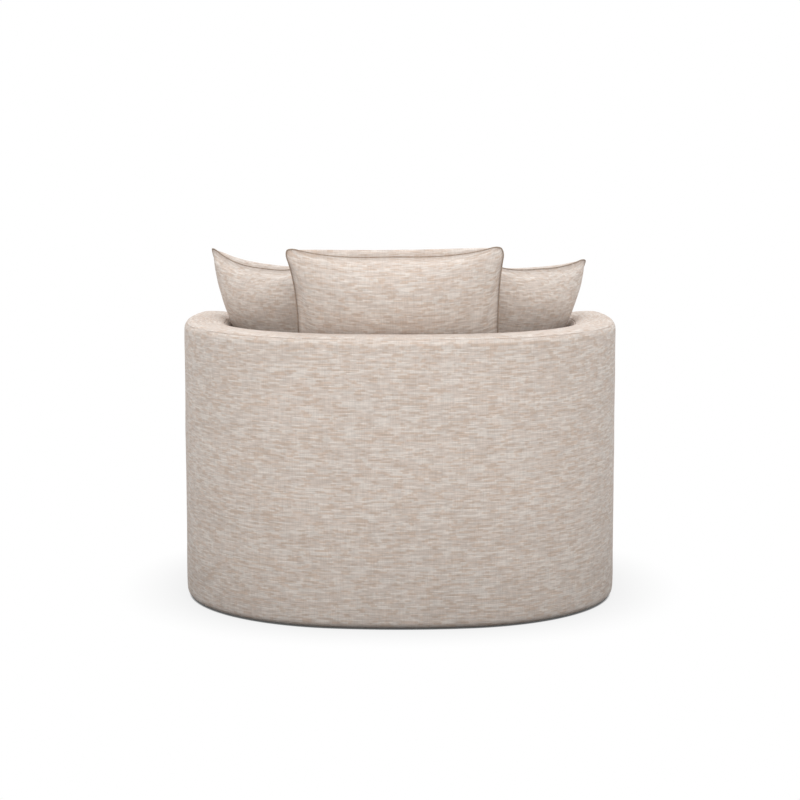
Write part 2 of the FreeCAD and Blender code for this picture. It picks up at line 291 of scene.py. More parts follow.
    def place(self, group: bpy.types.NodeTree, **values: Any) -> bpy.types.Node:
        """Place a node group.

        Args:
            group: the group to place.
            values: numbers, colours or sockets for its inputs.

        Returns:
            The placed group node.
        """
        node = self.add("ShaderNodeGroup", node_tree=group)
        for name, value in values.items():
            self.feed(node.inputs[name], value)
        return node


class GroupMaker:
    """Starts a shader node group with named sockets."""

    def __init__(self, name: str, inputs: dict[str, str], outputs: dict[str, str]) -> None:
        """Make the group and its sockets.

        Args:
            name: name of the group.
            inputs: socket name to its kind.
            outputs: socket name to its kind.
        """
        self.group = bpy.data.node_groups.new(name, "ShaderNodeTree")
        for way, sockets in (("INPUT", inputs), ("OUTPUT", outputs)):
            for label, kind in sockets.items():
                self.group.interface.new_socket(label, in_out=way, socket_type=kind)
        self.bench = NodeBench(self.group)
        self.given = self.bench.add("NodeGroupInput").outputs
        self.result = self.bench.add("NodeGroupOutput").inputs


COLOUR = "NodeSocketColor"
NUMBER = "NodeSocketFloat"
PLACE = "NodeSocketVector"


def start_material(name: str) -> tuple[bpy.types.Material, NodeBench, bpy.types.Node]:
    """Start a material.

    Args:
        name: name of the material.

    Returns:
        The material, a bench for its nodes and its main shader.
    """
    material = bpy.data.materials.new(name)
    material.use_nodes = True
    return material, NodeBench(material.node_tree), material.node_tree.nodes["Principled BSDF"]


@dataclass(frozen=True)
class YarnRows:
    """Weft yarns that lie row by row: their size in metres, and which of their tones show."""

    row: float
    along: float
    seed: float
    low: float
    high: float

    def lay(self, bench: NodeBench, rows: bpy.types.NodeTree, cloth: Any) -> bpy.types.Node:
        """Lay the rows on a cloth with the group that draws them."""
        return bench.place(rows, Cloth=cloth, Row=self.row, Along=self.along, Seed=self.seed)


PALE_ROWS = YarnRows(row=0.0048, along=17.0, seed=3.0, low=0.49, high=0.56)
TAN_ROWS = YarnRows(row=0.0046, along=32.0, seed=11.0, low=0.53, high=0.60)
FINE_ROWS = YarnRows(row=0.0028, along=34.0, seed=23.0, low=0.3, high=0.7)
PALE_SHARE = 0.42
TAN_SHARE = 0.40
SOFT_TAN_SHARE = 0.23
THREADS = 560.0  # threads of the plain weave in a metre


@dataclass
class Effects:
    """Shader node groups shared by the finishes."""

    slub: bpy.types.NodeTree = field(init=False)
    cross_weave: bpy.types.NodeTree = field(init=False)
    rubbed: bpy.types.NodeTree = field(init=False)
    rows: bpy.types.NodeTree = field(init=False)
    mottle: bpy.types.NodeTree = field(init=False)

    def __post_init__(self) -> None:
        """Build every group once."""
        self.cross_weave = self.build_cross_weave()
        self.rows = self.build_pick_rows()
        self.slub = self.build_slub()
        self.rubbed = self.build_rubbed()
        self.mottle = self.build_mottle()

    @staticmethod
    def build_cross_weave() -> bpy.types.NodeTree:
        """Over-and-under threads of a plain weave.

        Returns:
            Group with the thread height between 0 and 1.
        """
        maker = GroupMaker("plain_weave", {"Cloth": PLACE, "Threads": NUMBER}, {"Height": NUMBER})
        bench = maker.bench
        parts = bench.add("ShaderNodeSeparateXYZ")
        bench.feed(parts.inputs[0], maker.given["Cloth"])
        waves = []
        for axis in range(2):
            count = bench.math("MULTIPLY", parts.outputs[axis], maker.given["Threads"])
            waves.append(bench.math("SINE", bench.math("MULTIPLY", count, math.pi)))
        over = bench.math("MULTIPLY", waves[0], waves[1])
        height = bench.math("MULTIPLY_ADD", over, 0.5)
        height.node.inputs[2].default_value = 0.5
        bench.feed(maker.result["Height"], height)
        return maker.group

    @staticmethod
    def build_pick_rows() -> bpy.types.NodeTree:
        """Tone of weft yarns that lie row by row, each uneven along its own length.

        Returns:
            Group with the tone and the rounded height of a row, both between 0 and 1.
        """
        wander, apart, fullness = 0.006, 3.71, 0.6
        maker = GroupMaker("weft_rows", {"Cloth": PLACE, "Row": NUMBER, "Along": NUMBER, "Seed": NUMBER},
                           {"Tone": NUMBER, "Rib": NUMBER})
        bench = maker.bench
        parts = bench.add("ShaderNodeSeparateXYZ")
        bench.feed(parts.inputs[0], maker.given["Cloth"])
        stray = bench.grain(bench.stretch(maker.given["Cloth"], (5, 11, 1)), 1.0)
        stray = bench.math("MULTIPLY", bench.math("SUBTRACT", stray, 0.5), wander)
        level = bench.math("ADD", parts.outputs[1], stray)
        count = bench.math("DIVIDE", level, maker.given["Row"])
        row = bench.math("FLOOR", count)
        rib = bench.math("SINE", bench.math("MULTIPLY", bench.math("FRACT", count), math.pi))
        bench.feed(maker.result["Rib"], bench.math("POWER", rib, fullness))
        spot = bench.add("ShaderNodeCombineXYZ")
        bench.feed(spot.inputs[0], bench.math("MULTIPLY", parts.outputs[0], maker.given["Along"]))
        bench.feed(spot.inputs[1], bench.math("MULTIPLY", row, apart))
        bench.feed(spot.inputs[2], maker.given["Seed"])
        bench.feed(maker.result["Tone"], bench.grain(spot.outputs[0], 1.0, 0.5))
        return maker.group

    def build_slub(self) -> bpy.types.NodeTree:
        """Uneven slub yarns laid across the cloth, tan and pale on an oatmeal ground.

        Returns:
            Group with colour, height and roughness.
        """
        maker = GroupMaker(
            "slub_yarns",
            {"Cloth": PLACE, "Ground": COLOUR, "Tan": COLOUR, "Pale": COLOUR, "Strength": NUMBER},
            {"Color": COLOUR, "Height": NUMBER, "Roughness": NUMBER})
        bench = maker.bench
        cloth = maker.given["Cloth"]
        pale_rows = PALE_ROWS.lay(bench, self.rows, cloth)
        tan_rows = TAN_ROWS.lay(bench, self.rows, cloth)
        fine_rows = FINE_ROWS.lay(bench, self.rows, cloth)
        weave = bench.place(self.cross_weave, Cloth=cloth, Threads=THREADS)
        yarn = bench.grain(bench.stretch(cloth, (26, 165, 1)), 3.0, 0.6)
        drift = bench.grain(bench.stretch(cloth, (3, 9, 1), (2, 3, 7)), 2.0, 0.5)
        warp = bench.grain(bench.stretch(cloth, (330, 22, 1), (3, 1, 5)), 2.0, 0.6)

        pale_mask = bench.window(pale_rows.outputs["Tone"], PALE_ROWS.low, PALE_ROWS.high)
        pale_mask = bench.math("MULTIPLY", pale_mask, PALE_SHARE)
        tan_mask = bench.window(tan_rows.outputs["Tone"], TAN_ROWS.low, TAN_ROWS.high)
        tan_mask = bench.math("MULTIPLY", tan_mask, TAN_SHARE)
        soft_tan = bench.math("MULTIPLY", bench.window(yarn, 0.48, 0.74), SOFT_TAN_SHARE)
        tan = bench.math("MAXIMUM", tan_mask, soft_tan)
        tan = bench.math("MULTIPLY", tan, maker.given["Strength"], True)
        colour = bench.mix(pale_mask, maker.given["Ground"], maker.given["Pale"])
        colour = bench.mix(tan, colour, maker.given["Tan"])

        # Warp, drift and fine rows are the yarns' own uneven tone. Darker where threads go under and at
        # the edge of each row is painted shade.
        shade = bench.math("ADD", bench.window(warp, 0.3, 0.7, 0.945, 1.045),
                           bench.window(drift, 0.3, 0.7, -0.02, 0.02))
        for factor in (
                bench.window(weave.outputs["Height"], 0.0, 1.0, 0.94, 1.03),
                bench.window(fine_rows.outputs["Tone"], FINE_ROWS.low, FINE_ROWS.high, 0.905, 1.085),
                bench.window_line(pale_rows.outputs["Rib"], 0.0, 1.0, 0.95, 1.015)):
            shade = bench.math("MULTIPLY", shade, factor)
        bench.feed(maker.result["Color"], bench.mix(1.0, colour, bench.grey(shade), "MULTIPLY"))

        raised = bench.math("MULTIPLY", yarn, 0.6)
        for height, share in ((pale_rows.outputs["Rib"], 0.4), (weave.outputs["Height"], 0.35)):
            raised = bench.math("ADD", raised, bench.math("MULTIPLY", height, share))
        bench.feed(maker.result["Height"], raised)
        bench.feed(maker.result["Roughness"], bench.window(yarn, 0.2, 0.8, 0.78, 0.95))
        return maker.group

    @staticmethod
    def build_rubbed() -> bpy.types.NodeTree:
        """Mask of the edges that hands and floors rub.

        Returns:
            Group with the edge mask.
        """
        maker = GroupMaker("rubbed_edges", {"Amount": NUMBER}, {"Mask": NUMBER})
        bench = maker.bench
        sharp = bench.add("ShaderNodeNewGeometry").outputs["Pointiness"]
        edges = bench.window(sharp, 0.5, 0.62)
        spots = bench.grain(bench.add("ShaderNodeTexCoord").outputs["Object"], 3.0, 0.6, 60.0)
        broken = bench.math("MULTIPLY", edges, bench.window(spots, 0.35, 0.65))
        bench.feed(maker.result["Mask"], bench.math("MULTIPLY", broken, maker.given["Amount"], True))
        return maker.group

    @staticmethod
    def build_mottle() -> bpy.types.NodeTree:
        """Uneven tone of a raw material, coarse and fine.

        Returns:
            Group with a coarse tone and a fine height.
        """
        maker = GroupMaker("uneven_tone", {"Place": PLACE, "Size": NUMBER},
                           {"Tone": NUMBER, "Height": NUMBER})
        bench = maker.bench
        sized = bench.add("ShaderNodeVectorMath", operation="SCALE")
        bench.feed(sized.inputs[0], maker.given["Place"])
        bench.feed(sized.inputs["Scale"], maker.given["Size"])
        coarse = bench.grain(sized.outputs[0], 4.0, 0.6, 6.0)
        fine = bench.grain(sized.outputs[0], 3.0, 0.7, 180.0)
        bench.feed(maker.result["Tone"], coarse)
        bench.feed(maker.result["Height"], fine)
        return maker.group


@dataclass(frozen=True)
class WeaveFinish:
    """Oatmeal slub weave of the covers."""

    name: str
    ground: Rgba = linear(207, 194, 184)
    tan: Rgba = linear(188, 160, 137)
    pale: Rgba = linear(227, 221, 214)
    strength: float = 1.0
    # Colour and strength of the painted shade that darkens the weave along its seams.
    seam: Rgba = linear(112, 92, 78)
    painted_seam_shade: float = 0.36
    bump: float = 0.35
    bump_depth: float = 0.0012
    sheen: float = 0.12
    sheen_rough: float = 0.6
    gloss: float = 0.2

    def make(self, effects: Effects) -> bpy.types.Material:
        """Build the material.

        Args:
            effects: shared node groups.

        Returns:
            The finished material.
        """
        material, bench, shader = start_material(self.name)
        cloth = bench.attribute("cloth").outputs["Vector"]
        yarns = bench.place(effects.slub, Cloth=cloth, Ground=self.ground, Tan=self.tan, Pale=self.pale,
                            Strength=self.strength)
        # Painted shade: the weave darkens towards the seam colour along the seams marked on the mesh.
        seam = bench.attribute("seam").outputs["Fac"]
        dark = bench.math("MULTIPLY", seam, self.painted_seam_shade, True)
        colour = bench.mix(dark, yarns.outputs["Color"], self.seam)
        bench.feed(shader.inputs["Base Color"], colour)
        bench.feed(shader.inputs["Roughness"], yarns.outputs["Roughness"])
        raised = bench.bump(yarns.outputs["Height"], self.bump, self.bump_depth)
        bench.feed(shader.inputs["Normal"], raised)
        shader.inputs["Sheen Weight"].default_value = self.sheen
        shader.inputs["Sheen Roughness"].default_value = self.sheen_rough
        shader.inputs["Specular IOR Level"].default_value = self.gloss
        return material


@dataclass(frozen=True)
class RawFinish:
    """Plain material of a piece under the covers."""

    name: str
    light: Rgba
    dark: Rgba
    stretch: tuple[float, float, float] = (1.0, 1.0, 1.0)
    size: float = 1.0
    roughness: float = 0.8
    bump: float = 0.2
    edge: Rgba = linear(90, 74, 58)
    rub: float = 0.5
    bump_depth: float = 0.001
    spread: float = 0.1

    def make(self, effects: Effects) -> bpy.types.Material:
        """Build the material.

        Args:
            effects: shared node groups.

        Returns:
            The finished material.
        """
        material, bench, shader = start_material(self.name)
        place = bench.stretch(bench.add("ShaderNodeTexCoord").outputs["Object"], self.stretch)
        tone = bench.place(effects.mottle, Place=place, Size=self.size)
        colour = bench.mix(bench.window(tone.outputs["Tone"], 0.3, 0.7), self.light, self.dark)
        rub = bench.place(effects.rubbed, Amount=self.rub).outputs["Mask"]
        bench.feed(shader.inputs["Base Color"], bench.mix(rub, colour, self.edge))
        rough = bench.window(tone.outputs["Height"], 0.2, 0.8, self.roughness - self.spread,
                             min(self.roughness + self.spread, 1.0))
        bench.feed(shader.inputs["Roughness"], rough)
        raised = bench.bump(tone.outputs["Height"], self.bump, self.bump_depth)
        bench.feed(shader.inputs["Normal"], raised)
        return material


@dataclass
class Finishes:
    """All materials of the chair."""

    effects: Effects
    weave: bpy.types.Material = field(init=False)
    piping: bpy.types.Material = field(init=False)
    deck: bpy.types.Material = field(init=False)
    raw: dict[str, bpy.types.Material] = field(init=False)

    def __post_init__(self) -> None:
        """Build every material."""
        self.weave = WeaveFinish("oatmeal_slub_weave").make(self.effects)
        # The welt is the same weave: its darker ground, tan and pale are painted shade of the crease it
        # lies in.
        self.piping = WeaveFinish(
            "self_welt_weave_painted_shade", ground=linear(164, 144, 128), tan=linear(146, 124, 106),
            pale=linear(178, 162, 149), painted_seam_shade=0.0).make(self.effects)
        self.deck = WeaveFinish(
            "deck_cloth", ground=linear(206, 200, 190), tan=linear(188, 178, 164),
            pale=linear(220, 216, 208), strength=0.4).make(self.effects)
        table = {
            Slot.PLYWOOD: RawFinish("raw_plywood", linear(206, 176, 134), linear(176, 140, 98),
                                    stretch=(1.0, 1.0, 9.0), size=1.6, roughness=0.7),
            Slot.BOARD: RawFinish("smooth_board", linear(150, 122, 92), linear(128, 102, 74),
                                  size=2.0, roughness=0.85),
            Slot.FOAM: RawFinish("cut_foam", linear(232, 222, 184), linear(222, 208, 164),
                                 size=3.0, roughness=0.95, bump=0.5),
            Slot.WADDING: RawFinish("wadding", linear(238, 238, 234), linear(226, 226, 220),
                                    size=1.5, roughness=0.98, bump=0.6),
            Slot.WEBBING: RawFinish("elastic_webbing", linear(66, 60, 54), linear(48, 44, 40),
                                    stretch=(20.0, 20.0, 1.0), size=2.0, roughness=0.8, bump=0.4),
            Slot.DUST_CLOTH: RawFinish("dust_cloth", linear(38, 38, 40), linear(28, 28, 30),
                                       size=4.0, roughness=0.95, bump=0.4),
            Slot.RUBBER: RawFinish("matt_rubber", linear(36, 36, 36), linear(26, 26, 26),
                                   size=4.0, roughness=0.75),
        }
        self.raw = {slot.value: finish.make(self.effects) for slot, finish in table.items()}


def unit(angle: float) -> Point:
    """Plan direction of an angle in degrees."""
    return np.array([math.cos(math.radians(angle)), math.sin(math.radians(angle))])


def share_of(value: float) -> float:
    """Keep a share between 0 and 1."""
    return min(1.0, max(0.0, value))


def soft(u: float, v: float, seed: float, scale: float) -> float:
    """Smooth unevenness of stuffed cloth between about -1 and 1.

    Args:
        u: place along the cloth.
        v: place across the cloth.
        seed: which pattern.
        scale: size of a wave in metres.

    Returns:
        The unevenness.
    """
    return noise.noise(Vector((u / scale, v / scale, seed)))


@dataclass(frozen=True)
class Plan:
    """Oval plan of tangent arcs, in metres."""

    width: float = 1.170
    depth: float = 1.140
    wall: float = 0.120
    arm_reach: float = 0.175
    end_radius: float = 1.120
    side_radius: float = 1.110
    corner_radius: float = 0.476

    @property
    def side_center(self) -> Point:
        """Centre of the arc at the side."""
        return np.array([self.width / 2 - self.side_radius, 0.0])

    @property
    def end_center(self) -> Point:
        """Centre of the arc at the back."""
        return np.array([0.0, self.depth / 2 - self.end_radius])

    @property
    def corner_center(self) -> Point:
        """Centre of the arc between side and back.

        Returns:
            The plan point.
        """
        first, second = self.side_center, self.end_center
        reach_a = self.side_radius - self.corner_radius
        reach_b = self.end_radius - self.corner_radius
        gap = second - first
        span = float(np.linalg.norm(gap))
        along = (reach_a ** 2 - reach_b ** 2 + span ** 2) / (2 * span)
        across = math.sqrt(reach_a ** 2 - along ** 2)
        line = gap / span
        normal = np.array([-line[1], line[0]])
        options = [first + line * along + normal * side * across for side in (-1, 1)]
        return max(options, key=lambda point: point[0] + point[1])

    @property
    def joins(self) -> tuple[float, float]:
        """Facing directions where the arcs meet.

        Returns:
            Where side and corner meet, and where corner and back meet, in degrees.
        """
        side = self.corner_center - self.side_center
        end = self.corner_center - self.end_center
        side_join, end_join = (math.degrees(math.atan2(out[1], out[0])) for out in (side, end))
        return side_join, end_join

    def spot(self, angle: float, inset: float) -> Point:
        """Point of the outline that faces a direction.

        Args:
            angle: facing direction in degrees.
            inset: distance inwards.

        Returns:
            The plan point.
        """
        facing = unit(angle)
        folded = math.degrees(math.atan2(abs(facing[1]), abs(facing[0])))
        side_join, end_join = self.joins
        if folded < side_join:
            center, radius = self.side_center, self.side_radius
        elif folded < end_join:
            center, radius = self.corner_center, self.corner_radius
        else:
            center, radius = self.end_center, self.end_radius
        return center * np.copysign(1.0, facing) + facing * (radius - inset)

    def inset_of(self, x: float, y: float) -> tuple[float, Point]:
        """How far a plan point lies inside the outer face.

        Args:
            x: place across.
            y: place along.

        Returns:
            The distance, and the outward direction there.
        """
        point = np.array([abs(x), abs(y)])
        off = point - self.corner_center
        bearing = math.degrees(math.atan2(off[1], off[0]))
        side_join, end_join = self.joins
        if off[0] > 0 and side_join <= bearing <= end_join:
            center, radius = self.corner_center, self.corner_radius
        elif bearing < side_join:
            center, radius = self.side_center, self.side_radius
        else:
            center, radius = self.end_center, self.end_radius
        out = point - center
        reach = float(np.linalg.norm(out))
        signs = np.array([math.copysign(1, x), math.copysign(1, y)])
        return radius - reach, out / max(reach, TINY) * signs

    def arm_start(self) -> float:
        """Facing direction where the left arm ends.

        Returns:
            The direction in degrees.
        """
        low, high = -80.0, -1.0
        for _ in range(HALVINGS):
            middle = (low + high) / 2
            if self.spot(middle, self.wall / 2)[1] + self.arm_reach < 0:
                low = middle
            else:
                high = middle
        return (low + high) / 2

    def walk(self, start: float, stop: float, step: float) -> list[float]:
        """Facing directions a set length apart.

        Args:
            start: first direction in degrees.
            stop: last direction in degrees.
            step: length between two of them on the outer face.

        Returns:
            The directions, both ends included.
        """
        probe, last_gap = 0.1, 1.4
        angles = [start]
        while True:
            here = self.spot(angles[-1], 0.0)
            there = self.spot(angles[-1] + probe, 0.0)
            turn = probe * step / float(np.linalg.norm(there - here))
            if angles[-1] + last_gap * turn >= stop:
                break
            angles.append(angles[-1] + turn)
        return angles + [stop]


@dataclass
class Cap:
    """Fill of a closed row: inner points and triangles, with the row's own points counted first."""

    row: int
    inner: np.ndarray
    cloth: np.ndarray
    faces: list[tuple[int, ...]]


def fill_ring(ring: np.ndarray, spacing: float) -> tuple[np.ndarray, list[tuple[int, ...]]]:
    """Even points and triangles inside a closed plan outline.

    Args:
        ring: plan points of the outline.
        spacing: distance between two inner points.

    Returns:
        The inner points, and triangles that count the outline's points first.
    """
    clearance = 0.6  # room that an inner point keeps from the outline, by the spacing
    count = len(ring)
    ahead = np.roll(ring, -1, axis=0)
    low, high = ring.min(axis=0), ring.max(axis=0)
    inner = []
    for row, y in enumerate(np.arange(low[1], high[1], spacing * ROW_PITCH)):
        for x in np.arange(low[0] + spacing * 0.5 * (row % 2), high[0], spacing):
            straddles = (ring[:, 1] > y) != (ahead[:, 1] > y)
            a, b = ring[straddles], ahead[straddles]
            crossed = a[:, 0] + (y - a[:, 1]) / (b[:, 1] - a[:, 1]) * (b[:, 0] - a[:, 0]) > x
            clear = float(np.min(np.hypot(ring[:, 0] - x, ring[:, 1] - y)))
            if crossed.sum() % 2 and clear > spacing * clearance:
                inner.append((x, y))
    spots = [Vector(p) for p in ring.tolist() + inner]
    edges = [(i, (i + 1) % count) for i in range(count)]
    _, _, faces, origin, _, _ = delaunay_2d_cdt(spots, edges, [], 1, 1e-7)
    return np.array(inner), [tuple(origin[i][0] for i in face) for face in faces]


def blank_sheet(rows: int, columns: int) -> tuple[np.ndarray, np.ndarray, np.ndarray]:
    """Arrays for a sheet of points.

    Args:
        rows: number of rows.
        columns: number of points in a row.

    Returns:
        Points, places on the flat cloth and painted seam shades, all at zero.
    """
    return np.zeros((rows, columns, 3)), np.zeros((rows, columns, 2)), np.zeros((rows, columns))


def build_sheet(name: str, points: np.ndarray, cloth: np.ndarray, seam: np.ndarray,
                closed: bool = False, caps: Sequence[Cap] = ()) -> bpy.types.Object:
    """Make a smooth mesh from rows of points.

    Args:
        name: name of the piece.
        points: rows by columns by 3.
        cloth: rows by columns by 2, the place on the flat cloth.
        seam: rows by columns, 1 in a seam, for the painted seam shade.
        closed: join the last column to the first.
        caps: fills of closed rows.

    Returns:
        The new object.
    """
    rows, columns = points.shape[:2]
    faces: list[tuple[int, ...]] = []
    for i in range(rows - 1):
        for j in range(columns if closed else columns - 1):
            k = (j + 1) % columns
            here, above = i * columns, (i + 1) * columns
            faces.append((here + j, here + k, above + k, above + j))
    places, flat, shade = [points.reshape(-1, 3)], [cloth.reshape(-1, 2)], [seam.reshape(-1)]
    total = rows * columns
    for cap in caps:
        first, extra = cap.row * columns, total - columns
        faces += [tuple(i + (first if i < columns else extra) for i in face) for face in cap.faces]
        places.append(cap.inner)
        flat.append(cap.cloth)
        shade.append(np.zeros(len(cap.inner)))
        total += len(cap.inner)
    mesh = bpy.data.meshes.new(name)
    mesh.from_pydata(np.concatenate(places).tolist(), [], faces)
    keep_cloth(mesh, np.concatenate(flat), np.concatenate(shade))
    work = bmesh.new()
    work.from_mesh(mesh)
    bmesh.ops.remove_doubles(work, verts=work.verts, dist=1e-5)
    bmesh.ops.recalc_face_normals(work, faces=work.faces)
    work.to_mesh(mesh)
    work.free()
    mesh.shade_smooth()
    piece = bpy.data.objects.new(name, mesh)
    bpy.context.scene.collection.objects.link(piece)
    return piece


def keep_cloth(mesh: bpy.types.Mesh, cloth: np.ndarray, seam: np.ndarray) -> None:
    """Keep each point's place on the flat cloth and its painted seam shade on the mesh.

    Args:
        mesh: mesh to write to.
        cloth: places on the flat cloth in metres.
        seam: painted seam shade from 0 to 1.
    """
    place = mesh.attributes.new("cloth", "FLOAT_VECTOR", "POINT")
    flat = np.zeros((len(cloth), 3), dtype=np.float32)
    flat[:, :2] = cloth
    place.data.foreach_set("vector", flat.ravel())
    shade = mesh.attributes.new("seam", "FLOAT", "POINT")
    shade.data.foreach_set("value", np.asarray(seam, dtype=np.float32))


def dress(piece: bpy.types.Object, material: bpy.types.Material, body: Body,
          levels: int = 1) -> None:
    """Finish a piece and set it on its body.

    Args:
        piece: the piece.
        material: its finish.
        body: the body it moves with.
        levels: subdivisions.
    """
    piece.data.materials.clear()
    piece.data.materials.append(material)
    if levels:
        smooth = piece.modifiers.new("smooth", "SUBSURF")
        smooth.levels = levels
        smooth.render_levels = levels
    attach(piece, body.value)
    LOG.info("%s rides on %s", piece.name, body.value)


@dataclass
class Tub:
    """Covers of the tub: wall, rim, arm ends and the front below the seat, in metres."""

    plan: Plan
    rim: float = 0.742
    rim_round: float = 0.022
    inner_round: float = 0.038
    arm_drop: float = 0.0050
    drop_start: float = 0.15
    drop_length: float = 0.45
    drop_low: float = 0.55
    drop_tilt: tuple[float, float] = (0.4, 1.2)
    crown: float = 0.0012
    seat_line: float = 0.2322
    hem: float = 0.0012
    hem_round: float = 0.018
    hem_width: float = 0.042
    flange: float = 0.045
    front_top: float = 0.2319
    step: float = 0.012
    row: float = 0.024
    groove: float = 0.0011
    lip: float = 0.0003
    wave: float = 0.0011
    hem_calm: float = 0.06
    seam_depth: float = 0.0082
    seam_band: float = 0.012
    pucker: float = 0.0007

    def hem_levels(self) -> list[Level]:
        """Turned-under bottom edge.

        Returns:
            Inset, height and painted seam shade of each level.
        """
        levels = [(inset, self.hem, 0.0) for inset in (self.hem_width, 0.034, 0.026)]
        for turn in (0, 22, 45, 68, 90):
            angle = math.radians(turn)
            inset = self.hem_round * (1 - math.sin(angle))
            levels.append((inset, self.hem + self.hem_round * (1 - math.cos(angle)), 0.0))
        return levels

    def wall_levels(self, low: float, high: float) -> list[Level]:
        """Upright wall between two heights, ends left out."""
        count = max(2, round((high - low) / self.row))
        return [(0.0, low + (high - low) * i / count, 0.0) for i in range(1, count)]

    def rim_levels(self, radius: float) -> list[Level]:
        """Rounded edge with its plain seam, up to the middle of the rim.

        Args:
            radius: rounding of the edge.

        Returns:
            Inset, height and painted seam shade of each level.
        """
        dips = {41: -self.lip, 43: self.lip, 44: 0.6 * self.groove, 45: self.groove,
                46: 0.6 * self.groove, 47: self.lip, 49: -self.lip}
        # Painted shade along the plain seam, darkest in its groove.
        painted_seam_shades = {43: 0.08, 44: 0.5, 45: 0.95, 46: 0.5, 47: 0.08}
        levels = []
        for turn in (0, 10, 20, 30, 37, 41, 43, 44, 45, 46, 47, 49, 54, 62, 71, 80, 90):
            angle = math.radians(turn)
            reach = radius - dips.get(turn, 0.0)
            levels.append((radius - reach * math.cos(angle), self.rim - radius + reach * math.sin(angle),
                           painted_seam_shades.get(turn, 0.0)))
        for share in (0.342, 0.553, 0.763, 1.0):
            inset = radius + share * (self.plan.wall / 2 - radius)
            levels.append((inset, self.rim + self.crown * math.sin(share * math.pi / 2), 0.0))
        return levels

    def drop(self, y: float, height: float, inset: float) -> float:
        """How much lower the arms' tops lie towards the front, most of all on their inner side.

        Args:
            y: place from front to back.
            height: height on the level rim's profile.
            inset: place across the wall, from its outer face.

        Returns:
            How far the cover lies below that profile.
        """
        least, more = self.drop_tilt
        fall = self.arm_drop * (least + more * inset / self.plan.wall)
        forward = share_of((self.drop_start - y) / self.drop_length)
        upper = share_of((height - self.drop_low) / (self.rim - self.drop_low))
        for share in (forward, upper):
            fall = fall * share * share * (3 - 2 * share)
        return fall

    def upper_levels(self, radius: float) -> list[Level]:
        """From the seat line up to the middle of the rim, with an edge of some radius."""
        start = [(0.0, self.seat_line, 0.0)]
        return start + self.wall_levels(self.seat_line, self.rim - radius) + self.rim_levels(radius)

    def outer_levels(self) -> list[Level]:
        """From the hem up to the middle of the rim."""
        hem = self.hem_levels()
        return hem + self.wall_levels(hem[-1][1], self.seat_line) + self.upper_levels(self.rim_round)

    @staticmethod
    def lengths(levels: Sequence[Level]) -> list[float]:
        """Length along a profile.

        Args:
            levels: the profile.

        Returns:
            The length from the first level to each of them.
        """
        total = [0.0]
        for a, b in zip(levels, levels[1:]):
            total.append(total[-1] + math.hypot(b[0] - a[0], b[1] - a[1]))
        return total

    def unevenness(self, u: float, v: float, height: float) -> float:
        """How far the stuffed wall stands in or out at a place.

        Args:
            u: place along the cloth.
            v: place up the cloth.
            height: height above the floor.

        Returns:
            The distance outwards.
        """
        calm = share_of((height - self.hem) / self.hem_calm)
        swell = soft(u, v, 3.0, 0.16) + 0.5 * soft(u, v, 8.0, 0.06)
        near_seam = math.exp(-((height - self.rim + self.seam_depth) / self.seam_band) ** 2)
        pucker = near_seam * self.pucker * soft(u, 0.0, 5.0, 0.014)
        return calm * self.wave * swell + pucker

    @staticmethod
    def fade(inset: float) -> float:
        """Share of the unevenness that is left at an inset from the face."""
        return max(0.0, 1 - inset / EDGE_BAND)

    def build_wall(self) -> bpy.types.Object:
        """Outer wall, rim and inner wall in one skin from arm end to arm end.

        Returns:
            The wall's object.
        """
        start = self.plan.arm_start()
        angles = self.plan.walk(start, 180 - start, self.step)
        outer = self.outer_levels()
        inner = self.upper_levels(self.inner_round)[::-1][1:]
        lengths = self.lengths(outer)
        back = self.lengths(self.upper_levels(self.inner_round))
        top = lengths[-1]
        middle = [self.plan.spot(a, self.plan.wall / 2) for a in angles]
        along = [0.0]
        for a, b in zip(middle, middle[1:]):
            along.append(along[-1] + float(np.linalg.norm(b - a)))
        points, cloth, seam = blank_sheet(len(outer) + len(inner), len(angles))
        for j, angle in enumerate(angles):
            join = JOIN_DIP if j in (0, len(angles) - 1) else 0.0
            for i, (inset, height, shade) in enumerate(outer):
                v = lengths[i]
                push = self.unevenness(along[j], v, height)
                keep = inset - push * self.fade(inset) + (join if inset < EDGE_BAND else 0.0)
                points[i, j, :2] = self.plan.spot(angle, keep)
                points[i, j, 2] = height - self.drop(points[i, j, 1], height, inset)
                cloth[i, j] = (along[j], v)
                seam[i, j] = shade
            for k, (inset, height, shade) in enumerate(inner):
                i = len(outer) + k
                v = top + back[-1] - back[len(back) - 2 - k]
                push = 0.5 * self.unevenness(along[j], v, height)
                points[i, j, :2] = self.plan.spot(angle, self.plan.wall - inset + push * self.fade(inset))
                points[i, j, 2] = height - self.drop(points[i, j, 1], height, self.plan.wall - inset)
                cloth[i, j] = (along[j], v)
                seam[i, j] = shade
        return build_sheet("tub_wall_cover", points, cloth, seam)

    def build_arm_end(self, name: str, left: bool) -> bpy.types.Object:
        """Half-round end of one arm.

        Args:
            name: name of the piece.
            left: the end on the side of +X.

        Returns:
            The end's object.
        """
        start = self.plan.arm_start()
        outer = np.array(self.upper_levels(self.rim_round))
        inner = np.array(self.upper_levels(self.inner_round))
        lengths = self.lengths(outer)
        radius = self.plan.wall / 2
        center = self.plan.spot(start, radius)
        steps = 18
        side, aside = (1, 0.0) if left else (-1, 3.0)  # each end has its own place on the flat cloth
        low_cut = 0.23
        points, cloth, seam = blank_sheet(len(outer), steps + 1)
        for j in range(steps + 1):
            turn = start - 180 * j / steps
            bend = math.radians(start - turn)
            levels = outer + (inner - outer) * j / steps
            join = JOIN_DIP if j in (0, steps) else 0.0
            for i, (inset, height, shade) in enumerate(levels):
                reach = max(radius - inset - (join if inset < EDGE_BAND else 0.0), 0.0)
                place = center + unit(turn) * reach
                level = height - self.drop(place[1], height, radius - reach * math.cos(bend))
                points[i, j] = (side * place[0], place[1], level)
                cloth[i, j] = (-radius * bend - aside, lengths[i] + low_cut)
                seam[i, j] = shade
        return build_sheet(name, points, cloth, seam)

